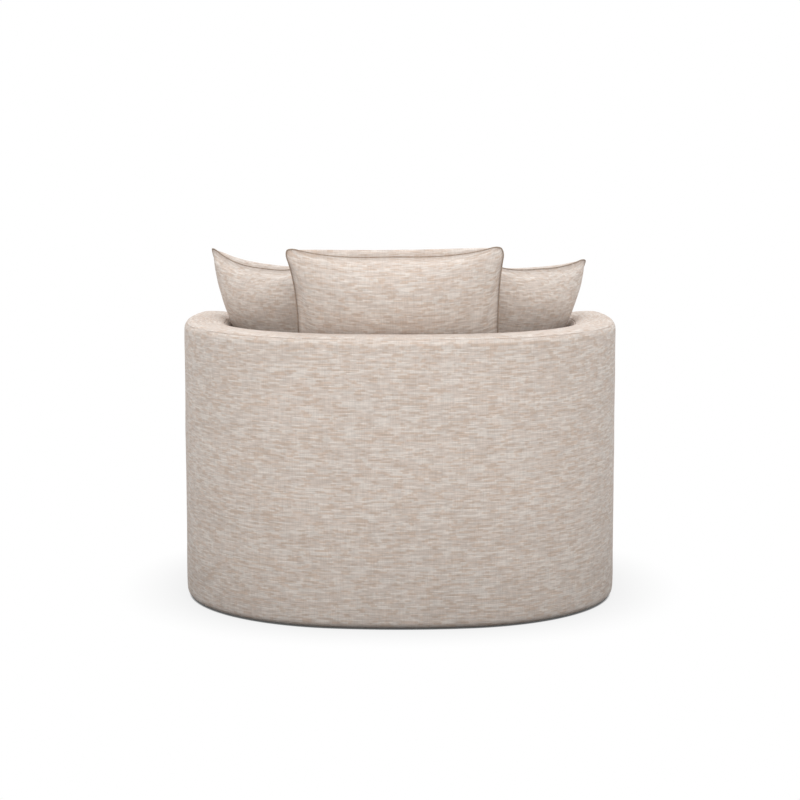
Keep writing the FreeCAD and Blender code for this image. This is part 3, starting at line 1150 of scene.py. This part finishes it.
    def build_front(self) -> bpy.types.Object:
        """Cover of the low front between the arm ends.

        Returns:
            The front's object.
        """
        start = self.plan.arm_start()
        slit, bend, lip = 0.04, 0.004, 0.02  # gap to the arm ends in degrees, upper edge in metres
        angles = self.plan.walk(180 - start + slit, 360 + start - slit, self.step)
        levels = self.hem_levels()
        levels += self.wall_levels(levels[-1][1], self.front_top - bend)
        for turn in (0, 30, 60, 90):
            angle = math.radians(turn)
            height = self.front_top - bend * (1 - math.sin(angle))
            levels.append((bend * (1 - math.cos(angle)), height, 0.0))
        levels += [(lip, self.front_top, 0.0), (self.flange, self.front_top, 0.0)]
        lengths = self.lengths(levels)
        points, cloth, seam = blank_sheet(len(levels), len(angles))
        along = 0.0
        for j, angle in enumerate(angles):
            if j:
                walked = self.plan.spot(angle, 0) - self.plan.spot(angles[j - 1], 0)
                along += float(np.linalg.norm(walked))
            join = JOIN_DIP if j in (0, len(angles) - 1) else 0.0
            for i, (inset, height, _) in enumerate(levels):
                below_edge = height < self.front_top - 0.01
                push = self.unevenness(along + 7, lengths[i], height) if below_edge else 0.0
                keep = inset - push * self.fade(inset) + (join if inset < lip else 0.0)
                points[i, j, :2] = self.plan.spot(angle, keep)
                points[i, j, 2] = height
                cloth[i, j] = (along + 4.0, lengths[i])
        return build_sheet("front_cover_skin", points, cloth, seam)

    def build(self, finishes: Finishes) -> None:
        """Build and dress every cover of the tub.

        Args:
            finishes: the chair's materials.
        """
        wall = self.build_wall()
        dress(wall, finishes.weave, Body.TUB)
        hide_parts("outside_cover", "rim_cover", "inside_cover", "rim_foam", "back_foam",
                    "outside_wadding")
        ends = [self.build_arm_end("arm_end_left", True), self.build_arm_end("arm_end_right", False)]
        for end in ends:
            dress(end, finishes.weave, Body.TUB)
        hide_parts("arm_noses")
        front = self.build_front()
        dress(front, finishes.weave, Body.TUB)
        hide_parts("front_cover", "front_wadding")


@dataclass
class SeatOutline:
    """T-shaped plan of the seat, which wraps the arm ends, in metres."""

    plan: Plan
    ease: float = 0.003
    front_inset: float = 0.002
    ear: float = 0.046

    def stations(self, step: float) -> tuple[np.ndarray, np.ndarray]:
        """Points round the seat and their outward directions.

        Args:
            step: length between two points.

        Returns:
            Points and directions.
        """
        start = self.plan.arm_start()
        nose = self.plan.spot(start, self.plan.wall / 2)
        room = self.plan.wall / 2 + self.ease
        line = self.front_inset + self.ear
        low, high = -89.0, start
        for _ in range(HALVINGS):
            middle = (low + high) / 2
            apart = float(np.linalg.norm(self.plan.spot(middle, line) - nose))
            if room + self.ear - apart < 0:
                low = middle
            else:
                high = middle
        ear_at = (low + high) / 2
        ear = self.plan.spot(ear_at, line)
        turn = math.degrees(math.atan2(ear[1] - nose[1], ear[0] - nose[0]))
        half: list[tuple[Point, Point]] = []
        for angle in self.plan.walk(-90.0, ear_at, step):
            half.append((self.plan.spot(angle, self.front_inset), unit(angle)))
        count = max(4, round(self.ear * math.radians(turn + 180 - ear_at) / step))
        for i in range(1, count + 1):
            angle = ear_at + (turn + 180 - ear_at) * i / count
            half.append((ear + unit(angle) * self.ear, unit(angle)))
        count = max(4, round(room * math.radians(turn + 360 - start - 180) / step))
        for i in range(1, count + 1):
            angle = turn + 360 + (start + 180 - turn - 360) * i / count
            half.append((nose + unit(angle) * room, -unit(angle)))
        for angle in self.plan.walk(start, 90.0, step)[1:]:
            half.append((self.plan.spot(angle, self.plan.wall + self.ease), unit(angle)))
        mirror = np.array([-1.0, 1.0])
        other = [(p * mirror, n * mirror) for p, n in half[1:-1]][::-1]
        points = np.array([p for p, _ in half + other])
        facing = np.array([n for _, n in half + other])
        return points, facing


@dataclass
class Seat:
    """Loose boxed seat cushion and the deck cloth under it, in metres."""

    plan: Plan
    low: float = 0.2396
    seam: float = 0.418
    crown: float = 0.014
    crown_reach: tuple[float, float] = (0.50, 0.52)
    crown_round: float = 0.8
    uneven: float = 0.0012
    edge: float = 0.016
    ease: float = 0.001
    step: float = 0.008
    flat: tuple[float, float] = (6.0, 0.0)
    middle: tuple[float, float] = (0.0, -0.058)
    welt: float = 0.0028
    deck_low: float = 0.2333
    deck_high: float = 0.2393
    wave: float = 0.0009

    def top_at(self, x: float, y: float) -> float:
        """Height of the seat's upper face.

        Args:
            x: place across.
            y: place along.

        Returns:
            The height in metres.
        """
        reach = math.hypot((x - self.middle[0]) / self.crown_reach[0],
                           (y - self.middle[1]) / self.crown_reach[1])
        return self.seam + self.crown * max(0.0, 1 - reach ** 2) ** self.crown_round

    def crown_at(self, x: float, y: float, inset: float) -> float:
        """Height of the upper cover, which the fill makes a little uneven away from its edge.

        Args:
            x: place across.
            y: place along.
            inset: distance from the edge.

        Returns:
            The height in metres.
        """
        band = 0.02
        free = share_of((inset - self.edge - self.ease) / band)
        sunk = 0.0004 * (1 - min(1.0, inset / band))
        return self.top_at(x, y) - sunk + self.uneven * free * soft(x, y, 2.0, 0.13)

    def build_cushion(self) -> bpy.types.Object:
        """Boxed cushion with soft edges and a full crown.

        Returns:
            The cushion's object.
        """
        points, facing = SeatOutline(self.plan).stations(self.step)
        edge, ease, belly, rows = self.edge, self.ease, 0.0007, 9
        levels = [(0.028, self.low, 0.0), (0.018, self.low + 0.0004, 0.0)]
        for turn in (-70, -45, -20, 0):
            angle = math.radians(turn)
            inset = edge * (1 - math.cos(angle)) + ease
            levels.append((inset, self.low + edge * (1 + math.sin(angle)), 0.0))
        tall = self.seam - edge - (self.low + edge)
        for i in range(1, rows):
            share = i / rows
            levels.append((ease - belly * math.sin(share * math.pi), self.low + edge + tall * share, 0.0))
        for turn in (0, 15, 30, 39, 43, 45, 47, 51, 60, 75, 90):
            angle = math.radians(turn)
            dip = {43: 0.0006, 45: 0.0014, 47: 0.0006}.get(turn, 0.0)
            # Painted shade along the welt seam, darkest in its groove.
            shade = {43: 0.5, 45: 1.0, 47: 0.5}.get(turn, 0.0)
            reach = edge - dip
            inset = edge - reach * math.cos(angle) + ease
            levels.append((inset, self.seam - edge + reach * math.sin(angle), shade))
        levels += [(0.022, self.seam, 0.0), (0.028, self.seam, 0.0)]
        band_cut, inside, flat = 9.0, 0.05, np.array(self.flat)
        grid, cloth, seam = blank_sheet(len(levels), len(points))
        along = np.concatenate([[0.0], np.cumsum(np.linalg.norm(np.diff(points, axis=0), axis=1))])
        for i, (inset, height, shade) in enumerate(levels):
            on_band = self.low + 0.002 <= height <= self.seam - 0.001
            side = math.sin(math.pi * share_of((height - self.low) / (self.seam - self.low)))
            for j in range(len(points)):
                push = self.wave * side * soft(along[j], height, 4.0, 0.09)
                place = points[j] - facing[j] * (inset - push)
                crowned = height >= self.seam - 1e-6
                lift = self.crown_at(place[0], place[1], inset) if crowned else height
                grid[i, j] = (place[0], place[1], lift)
                cloth[i, j] = (along[j] + band_cut, height) if on_band else place + flat
                seam[i, j] = shade
        over, triangles = fill_ring(grid[-1, :, :2], 0.022)
        heights = [self.crown_at(x, y, inside) for x, y in over]
        top = Cap(len(levels) - 1, np.column_stack([over, heights]), over + flat, triangles)
        under, triangles = fill_ring(grid[0, :, :2], 0.05)
        base = Cap(0, np.column_stack([under, np.full(len(under), self.low)]), under + flat, triangles)
        return build_sheet("seat_cushion_cover", grid, cloth, seam, closed=True, caps=(top, base))

    def build_deck(self) -> bpy.types.Object:
        """Flat padded cloth that the cushion lies on.

        Returns:
            The deck's object.
        """
        outline = SeatOutline(self.plan, ease=0.0036, front_inset=0.0036)
        points, facing = outline.stations(0.02)
        bend = (self.deck_high - self.deck_low) / 2
        margin, shift = 0.012, np.array([2.0, 3.0])
        levels = [(margin, self.deck_low)]
        for turn in (-90, -45, 0, 45, 90):
            angle = math.radians(turn)
            inset = bend * (1 - math.cos(angle)) + self.ease
            levels.append((inset, self.deck_low + bend * (1 + math.sin(angle))))
        levels.append((margin, self.deck_high))
        grid = np.zeros((len(levels), len(points), 3))
        for i, (inset, height) in enumerate(levels):
            grid[i, :, :2] = points - facing * inset
            grid[i, :, 2] = height
        over, triangles = fill_ring(grid[-1, :, :2], 0.03)
        heights = [self.deck_high - 0.0003 * abs(soft(x, y, 6.0, 0.05)) for x, y in over]
        top = Cap(len(levels) - 1, np.column_stack([over, heights]), over + shift, triangles)
        under, triangles = fill_ring(grid[0, :, :2], 0.06)
        floor = np.full(len(under), self.deck_low)
        base = Cap(0, np.column_stack([under, floor]), under + shift, triangles)
        return build_sheet("deck_cloth_pad", grid, grid[:, :, :2] + shift, np.zeros(grid.shape[:2]),
                           closed=True, caps=(top, base))

    def build_welt(self) -> bpy.types.Object:
        """Self welt along the upper edge of the cushion.

        Returns:
            The welt's object.
        """
        points, facing = SeatOutline(self.plan).stations(self.step)
        slope = math.sqrt(0.5)
        inset = self.edge * (1 - slope) + self.ease
        height = self.seam - self.edge * (1 - slope)
        path = np.zeros((len(points), 3))
        path[:, :2] = points - facing * inset
        path[:, 2] = height
        out = np.zeros((len(points), 3))
        out[:, :2] = facing * slope
        out[:, 2] = slope
        return build_piping("seat_cushion_welt", path, out, self.welt / 2)

    def build(self, finishes: Finishes) -> None:
        """Build and dress the cushion, its welt and the deck.

        Args:
            finishes: the chair's materials.
        """
        cushion = self.build_cushion()
        dress(cushion, finishes.weave, Body.SEAT, 0)
        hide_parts("seat_cushion")
        dress(self.build_welt(), finishes.piping, Body.SEAT, 0)
        deck = self.build_deck()
        dress(deck, finishes.deck, Body.TUB, 0)
        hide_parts("deck_pad")


def build_piping(name: str, path: np.ndarray, out: np.ndarray, radius: float) -> bpy.types.Object:
    """Round self welt along a closed path.

    Args:
        name: name of the piece.
        path: points of the path.
        out: direction away from the cushion at each point.
        radius: radius of the welt.

    Returns:
        The welt's object.
    """
    sides = 8
    count = len(path)
    grid = np.zeros((count, sides, 3))
    cloth = np.zeros((count, sides, 2))
    along = 0.0
    for i in range(count):
        tangent = path[(i + 1) % count] - path[i - 1]
        tangent = tangent / max(float(np.linalg.norm(tangent)), TINY)
        first = out[i] - tangent * float(np.dot(out[i], tangent))
        first = first / max(float(np.linalg.norm(first)), TINY)
        second = np.cross(tangent, first)
        if i:
            along += float(np.linalg.norm(path[i] - path[i - 1]))
        for k in range(sides):
            angle = 2 * math.pi * k / sides
            grid[i, k] = path[i] + radius * (first * math.cos(angle) + second * math.sin(angle))
            cloth[i, k] = (radius * angle, along)
    points = np.concatenate([grid, grid[:1]])
    flat = np.concatenate([cloth, cloth[-1:]])
    return build_sheet(name, points, flat, np.zeros(points.shape[:2]), closed=True)


@dataclass
class Pillow:
    """Loose knife-edge pillow of two sewn panels, in metres and degrees."""

    node: str
    body: Body
    width: float
    height: float
    thickness: float
    place: tuple[float, float]
    turn: float
    lean: float
    roll: float
    plan: Plan
    seat: Seat
    seed: float
    cells: int = 48
    draw: tuple[float, float, float] = (0.033, 0.018, 0.034)
    lift: float = 0.0
    corner: float = 0.15
    front: float = 0.50
    rise: float = 0.117
    skew: float = 0.9
    welt: float = 0.0013
    gap: float = 0.0015
    pressure: float = 1.6
    frames: int = 14
    reach: float = 0.008
    seam_give: float = 0.2
    fullness: float = 0.46
    wrinkle: float = 0.0038
    dent: float = 0.0016

    def frame(self) -> Matrix:
        """Where the pillow's plane stands, with its middle at the CAD solid's height.

        Returns:
            The plane's place and directions: across, upwards and towards the wall.
        """
        turn, tilt, spin = math.radians(self.turn), math.radians(self.lean), math.radians(self.roll)
        back = Vector((math.sin(turn), math.cos(turn), 0))
        tall = Vector((0, 0, 1)) * math.cos(tilt) + back * math.sin(tilt)
        normal = back * math.cos(tilt) - Vector((0, 0, 1)) * math.sin(tilt)
        wide = tall.cross(normal)
        along = wide * math.cos(spin) + tall * math.sin(spin)
        rise = tall * math.cos(spin) - wide * math.sin(spin)
        low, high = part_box(self.node)
        level = (low[2] + high[2]) / 2 + self.lift
        matrix = Matrix((along, rise, normal)).transposed().to_4x4()
        matrix.translation = Vector((self.place[0], self.place[1], level))
        return matrix

    def plump(self, a: float, b: float, side: int) -> tuple[float, float, float]:
        """Full shape of the stuffed pillow before the fill settles.

        Args:
            a: place across, from -1 to 1.
            b: place upwards, from -1 to 1.
            side: 1 for the panel towards the wall, -1 for the other.

        Returns:
            The point in the pillow's plane.
        """
        across, upward = max(0.0, 1 - a * a), max(0.0, 1 - b * b)
        if side > 0:
            share, over = 1 - self.front, 0.0
            swell = across ** 0.75 * upward ** 0.5 * (1 + self.skew * b)
        else:
            share = self.front
            swell = (across * upward) ** self.fullness
            over = self.rise * upward ** self.fullness * (1 - a ** 4) * max(0.0, b) ** 4
        over_a, over_b = max(0.0, abs(a) - 1 + self.corner), max(0.0, abs(b) - 1 + self.corner)
        u, v = over_a / self.corner, over_b / self.corner
        round_a = abs(a) - over_a * (1 - math.sqrt(1 - v * v / 2))
        round_b = abs(b) - over_b * (1 - math.sqrt(1 - u * u / 2))
        wide = self.width / 2 - self.draw[0 if a < 0 else 1] * (1 - abs(b) ** 3)
        tall = self.height / 2 - self.draw[2] * (1 - abs(a) ** 3)
        depth = swell * self.thickness * share + self.drag(a, b, side)
        return math.copysign(round_a, a) * wide, math.copysign(round_b, b) * tall + over, side * depth

    def drag(self, a: float, b: float, side: int) -> float:
        """Shallow wrinkles that the side seams draw into a panel.

        Args:
            a: place across, from -1 to 1.
            b: place upwards, from -1 to 1.
            side: which panel.

        Returns:
            How far the cloth stands out.
        """
        away = (1 - abs(a)) * self.width / 2
        along = b * self.height / 2
        slant, draw_out, fold_size, dent_size = 0.45, 0.22, 0.021, 0.10
        start, length = 0.012, 0.070
        pattern = self.seed + 3 * side + math.copysign(1, a)
        fold = soft(along + slant * away, away * draw_out, pattern, fold_size)
        fade = min(1.0, away / start) * math.exp(-away / length) * (1 - b * b) ** 0.5
        dent = soft(a * self.width, b * self.height, self.seed + side, dent_size) * (1 - a * a)
        return self.wrinkle * fold * fade + self.dent * dent

    def panels(self) -> tuple[np.ndarray, list[tuple[int, ...]], list[int], np.ndarray]:
        """Two panels sewn along their edge.

        Returns:
            Points, faces, the points of the seam in order, and each point's place on its flat panel.
        """
        n, even = self.cells, 0.45  # the rest of the spacing gets closer towards the seam
        ticks = [2 * i / n - 1 for i in range(n + 1)]
        ticks = [even * t + (1 - even) * math.sin(t * math.pi / 2) for t in ticks]
        index: dict[tuple[int, int, int], int] = {}
        points, flat, faces = [], [], []
        for side in (1, -1):
            grid = np.array([[self.plump(a, b, side) for b in ticks] for a in ticks])
            across = np.zeros((n + 1, n + 1))
            across[1:] = np.cumsum(np.linalg.norm(np.diff(grid, axis=0), axis=2), axis=0)
            upward = np.zeros((n + 1, n + 1))
            upward[:, 1:] = np.cumsum(np.linalg.norm(np.diff(grid, axis=1), axis=2), axis=1)
            across -= across[n // 2]
            upward -= upward[:, n // 2:n // 2 + 1]
            for i in range(n + 1):
                for j in range(n + 1):
                    rim = i in (0, n) or j in (0, n)
                    key = (i, j, 0 if rim else side)
                    if key not in index:
                        index[key] = len(points)
                        points.append(tuple(grid[i, j]))
                        flat.append((across[i, j], upward[i, j]))
            for i in range(n):
                for j in range(n):
                    corners = []
                    for p, q in ((i, j), (i + 1, j), (i + 1, j + 1), (i, j + 1)):
                        rim = p in (0, n) or q in (0, n)
                        corners.append(index[(p, q, 0 if rim else side)])
                    faces.append(tuple(corners if side > 0 else corners[::-1]))
        ring = [(i, 0) for i in range(n)] + [(n, j) for j in range(n)]
        ring += [(i, n) for i in range(n, 0, -1)] + [(0, j) for j in range(n, 0, -1)]
        return np.array(points), faces, [index[(i, j, 0)] for i, j in ring], np.array(flat)

    def blow_up(self, piece: bpy.types.Object, ring: Sequence[int]) -> np.ndarray:
        """Let the fill settle in the sewn panels under pressure, while the seam mostly keeps its line.

        Args:
            piece: object with the sewn panels.
            ring: points of the seam.

        Returns:
            The points of the filled pillow.
        """
        cloth = piece.modifiers.new("fill", "CLOTH")
        rules = cloth.settings
        rules.quality = 7
        rules.mass = 0.25
        rules.air_damping = 2.0
        rules.tension_stiffness = 22
        rules.compression_stiffness = 22
        rules.shear_stiffness = 8
        rules.bending_stiffness = 0.8
        rules.use_pressure = True
        rules.uniform_pressure_force = self.pressure
        rules.effector_weights.gravity = 0
        cloth.collision_settings.use_collision = False
        cloth.point_cache.frame_start = 1
        cloth.point_cache.frame_end = self.frames
        scene = bpy.context.scene
        for step in range(1, self.frames + 1):
            scene.frame_set(step)
        seen = piece.evaluated_get(bpy.context.evaluated_depsgraph_get())
        count = len(seen.data.vertices)
        found = np.zeros(count * 3)
        seen.data.vertices.foreach_get("co", found)
        first = np.zeros(count * 3)
        piece.data.vertices.foreach_get("co", first)
        piece.modifiers.remove(cloth)
        scene.frame_set(1)
        move = (found - first).reshape(-1, 3)
        length = np.linalg.norm(move, axis=1)
        share = np.minimum(1.0, self.reach / np.maximum(length, TINY))
        share[ring] *= self.seam_give
        LOG.info("%s moved up to %.1f mm in the fill", self.node, 1000 * float(length.max()))
        return first.reshape(-1, 3) + move * share[:, None]

    def settle(self, points: np.ndarray, matrix: Matrix) -> np.ndarray:
        """Stand the pillow in the tub and press it flat where it touches wall and seat.

        Args:
            points: points in the pillow's plane.
            matrix: where that plane stands.

        Returns:
            Points in the chair's frame.
        """
        rim, bend, above = Tub.rim, Tub.inner_round, 0.002
        placed = np.array([tuple(matrix @ Vector(p)) for p in points])
        for p in placed:
            p[2] = max(p[2], self.seat.top_at(p[0], p[1]) + self.gap)
            if p[2] < rim + above:
                over = share_of((p[2] - rim + bend) / bend)
                free = self.plan.wall - bend * (1 - math.sqrt(1 - over * over)) + self.gap
                inset, facing = self.plan.inset_of(p[0], p[1])
                if inset < free:
                    p[:2] -= facing * (free - inset)
        return placed

    @staticmethod
    def crease(mesh: bpy.types.Mesh, ring: Sequence[int]) -> None:
        """Keep the seam sharp, so that the welt lies on it.

        Args:
            mesh: the pillow's mesh.
            ring: points of the seam.
        """
        on_seam = set(ring)
        sharp = mesh.attributes.new("crease_edge", "FLOAT", "EDGE")
        sharp.data.foreach_set("value", [float(on_seam.issuperset(edge.vertices)) for edge in mesh.edges])

    def build(self, finishes: Finishes) -> None:
        """Build and dress the pillow and its welt.

        Args:
            finishes: the chair's materials.
        """
        points, faces, ring, flat = self.panels()
        mesh = bpy.data.meshes.new(self.node + "_cover")
        mesh.from_pydata(points.tolist(), [], faces)
        piece = bpy.data.objects.new(self.node + "_cover", mesh)
        bpy.context.scene.collection.objects.link(piece)
        filled = self.blow_up(piece, ring)
        filled = filled - (filled.max(axis=0) + filled.min(axis=0)) / 2
        filled *= np.array([self.width / 2, self.height / 2, self.thickness / 2]) / filled.max(axis=0)
        placed = self.settle(filled, self.frame())
        mesh.vertices.foreach_set("co", placed.ravel())
        # Painted shade along the sewn edge, under the welt.
        seam = np.zeros(len(points))
        seam[ring] = 1.0
        keep_cloth(mesh, flat + np.array([self.seed, self.seed * 0.7]), seam)
        mesh.update()
        mesh.shade_smooth()
        self.crease(mesh, ring)
        dress(piece, finishes.weave, self.body)
        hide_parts(self.node)
        path = placed[ring]
        path = (np.roll(path, 1, axis=0) + 6 * path + np.roll(path, -1, axis=0)) / 8
        out = path - placed.mean(axis=0)
        proud = 0.6  # how far the welt's middle stands off the seam, by its radius
        path = path + out / np.linalg.norm(out, axis=1)[:, None] * self.welt * proud
        welt = build_piping(self.node + "_welt", path, out, self.welt)
        dress(welt, finishes.piping, self.body, 0)


class HiddenFrame:
    """Frame pieces under the covers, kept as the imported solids."""

    @staticmethod
    def dress(finishes: Finishes) -> None:
        """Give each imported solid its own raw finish.

        Args:
            finishes: the chair's materials.
        """
        slots = {part["node"]: part["material_slot"] for part in frame["record"]["subparts"]}
        for name, piece in frame["nodes"].items():
            material = finishes.raw.get(slots.get(name, ""), finishes.weave)
            piece.data.materials.clear()
            piece.data.materials.append(material)
            LOG.info("%s has its raw finish", name)


@dataclass(frozen=True)
class Lamp:
    """One soft square lamp: where it hangs, the point it faces, its side and its watts."""

    name: str
    place: tuple[float, float, float]
    aim: tuple[float, float, float]
    size: float
    power: float

    def hang(self) -> None:
        """Hang the lamp in the scene."""
        data = bpy.data.lights.new(self.name, "AREA")
        data.size = self.size
        data.energy = self.power
        lamp = bpy.data.objects.new(self.name, data)
        lamp.location = self.place
        facing = Vector(self.aim) - Vector(self.place)
        lamp.rotation_euler = facing.to_track_quat("-Z", "Y").to_euler()
        bpy.context.scene.collection.objects.link(lamp)


@dataclass
class Studio:
    """White room, lamps and camera of the picture, in metres and degrees."""

    eye: tuple[float, float, float] = (0.0, 5.976, 1.300)
    pitch: float = 7.52
    lens: float = 98.64
    sensor: float = 36.0
    sky: float = 0.86
    wide_reach: float = 0.20
    close_reach: float = 0.006
    lamps: tuple[Lamp, ...] = (
        Lamp("top_light", (0.0, 1.2, 4.2), (0.0, 0.0, 0.4), size=3.0, power=25.0),
        Lamp("far_light", (0.0, -1.8, 3.6), (0.0, 0.0, 0.6), size=2.2, power=24.0),
        Lamp("front_light", (0.0, 4.6, 4.2), (0.0, 0.0, 0.6), size=2.6, power=90.0),
    )

    @staticmethod
    def seen(bench: NodeBench) -> bpy.types.NodeSocket:
        """Share of a ray that shows the surface itself: to the eye, in a gloss or through glass.

        Args:
            bench: bench of the surface's nodes.

        Returns:
            Socket of the share.
        """
        path = bench.add("ShaderNodeLightPath")
        seen = bench.math("MAXIMUM", path.outputs["Is Camera Ray"], path.outputs["Is Glossy Ray"])
        return bench.math("MAXIMUM", seen, path.outputs["Is Transmission Ray"])

    @staticmethod
    def open_share(bench: NodeBench, reach: float) -> bpy.types.NodeSocket:
        """Share of the room above the floor that is free within a reach.

        Args:
            bench: bench of the floor's nodes.
            reach: how far to look.

        Returns:
            Socket of the share.
        """
        node = bench.add("ShaderNodeAmbientOcclusion", samples=8)
        node.inputs["Distance"].default_value = reach
        return node.outputs["AO"]

    def build_floor(self) -> None:
        """Plain white floor that glows white to the eye with the chair's shadow painted into the glow,
        and gives little light back near it.
        """
        mesh = bpy.data.meshes.new("floor")
        mesh.from_pydata([(-9, -12, 0), (9, -12, 0), (9, 9, 0), (-9, 9, 0)], [], [(0, 1, 2, 3)])
        floor = bpy.data.objects.new("floor", mesh)
        bpy.context.scene.collection.objects.link(floor)
        material, bench, shader = start_material("white_floor")
        reach = bench.add("ShaderNodeVectorMath", operation="LENGTH")
        bench.feed(reach.inputs[0], bench.add("ShaderNodeTexCoord").outputs["Object"])
        tone = bench.window(reach.outputs["Value"], 0.6, 1.5, 0.10, 0.62)
        bench.feed(shader.inputs["Base Color"], bench.grey(tone))
        shader.inputs["Roughness"].default_value = 0.9
        shader.inputs["Specular IOR Level"].default_value = 0.0
        # Painted shadow: to the eye the floor glows less where the chair closes in the room around it,
        # near and far.
        wide = self.open_share(bench, self.wide_reach)
        close = self.open_share(bench, self.close_reach)
        shade = bench.math("MULTIPLY", bench.window_line(wide, 0.0, 1.0, 0.76, 1.0),
                           bench.window_line(close, 0.35, 1.0, 0.12, 1.0))
        glow_with_painted_shadow = bench.add("ShaderNodeEmission")
        glow_with_painted_shadow.inputs["Color"].default_value = (1, 1, 1, 1)
        bench.feed(glow_with_painted_shadow.inputs["Strength"], shade)
        both = bench.add("ShaderNodeMixShader")
        bench.feed(both.inputs["Fac"], self.seen(bench))
        bench.feed(both.inputs[1], shader.outputs[0])
        bench.feed(both.inputs[2], glow_with_painted_shadow.outputs[0])
        shown = material.node_tree.nodes["Material Output"]
        bench.feed(shown.inputs["Surface"], both.outputs[0])
        mesh.materials.append(material)

    def build_world(self) -> None:
        """White surroundings: full white to the eye, softer as light."""
        world = bpy.data.worlds.new("white_room")
        bpy.context.scene.world = world
        world.use_nodes = True
        bench = NodeBench(world.node_tree)
        sky = world.node_tree.nodes["Background"]
        sky.inputs["Color"].default_value = (1, 1, 1, 1)
        extra = bench.math("MULTIPLY", self.seen(bench), 1.0 - self.sky)
        bench.feed(sky.inputs["Strength"], bench.math("ADD", extra, self.sky))

    def build_camera(self) -> None:
        """Camera at the photograph's place, behind the chair."""
        data = bpy.data.cameras.new("camera")
        data.lens = self.lens
        data.sensor_width = self.sensor
        camera = bpy.data.objects.new("camera", data)
        camera.location = self.eye
        camera.rotation_euler = (math.radians(90 - self.pitch), 0.0, math.pi)
        bpy.context.scene.collection.objects.link(camera)
        bpy.context.scene.camera = camera

    def build(self) -> None:
        """Build floor, surroundings, lamps and camera."""
        self.build_floor()
        self.build_world()
        for lamp in self.lamps:
            lamp.hang()
        self.build_camera()
        bpy.context.scene.view_settings.view_transform = "Standard"


def main() -> None:
    """Build and dress the whole chair."""
    logging.basicConfig(level=logging.INFO, format="%(message)s")
    finishes = Finishes(Effects())
    plan = Plan()
    HiddenFrame.dress(finishes)
    Tub(plan).build(finishes)
    seat = Seat(plan)
    seat.build(finishes)
    pillows = [
        Pillow("center_pillow", Body.CENTER, width=0.551, height=0.542, thickness=0.166,
               place=(0.0105, 0.3593), turn=0.0, lean=15.0, roll=0.6, plan=plan, seat=seat, seed=1.3,
               lift=0.0075, skew=1.2),
        Pillow("left_pillow", Body.LEFT, width=0.492, height=0.501, thickness=0.158,
               place=(0.3205, 0.075), turn=54.0, lean=18.0, roll=-1.0, plan=plan, seat=seat, seed=4.1,
               draw=(0.031, 0.022, 0.053), lift=0.005, rise=0.078, corner=0.22),
        Pillow("right_pillow", Body.RIGHT, width=0.492, height=0.501, thickness=0.158,
               place=(-0.3115, 0.075), turn=-54.0, lean=18.0, roll=-1.5, plan=plan, seat=seat, seed=7.7,
               draw=(0.026, 0.043, 0.032), lift=-0.008, rise=0.056, corner=0.22),
    ]
    for pillow in pillows:
        pillow.build(finishes)
    Studio().build()


if __name__ == "__main__":
    main()
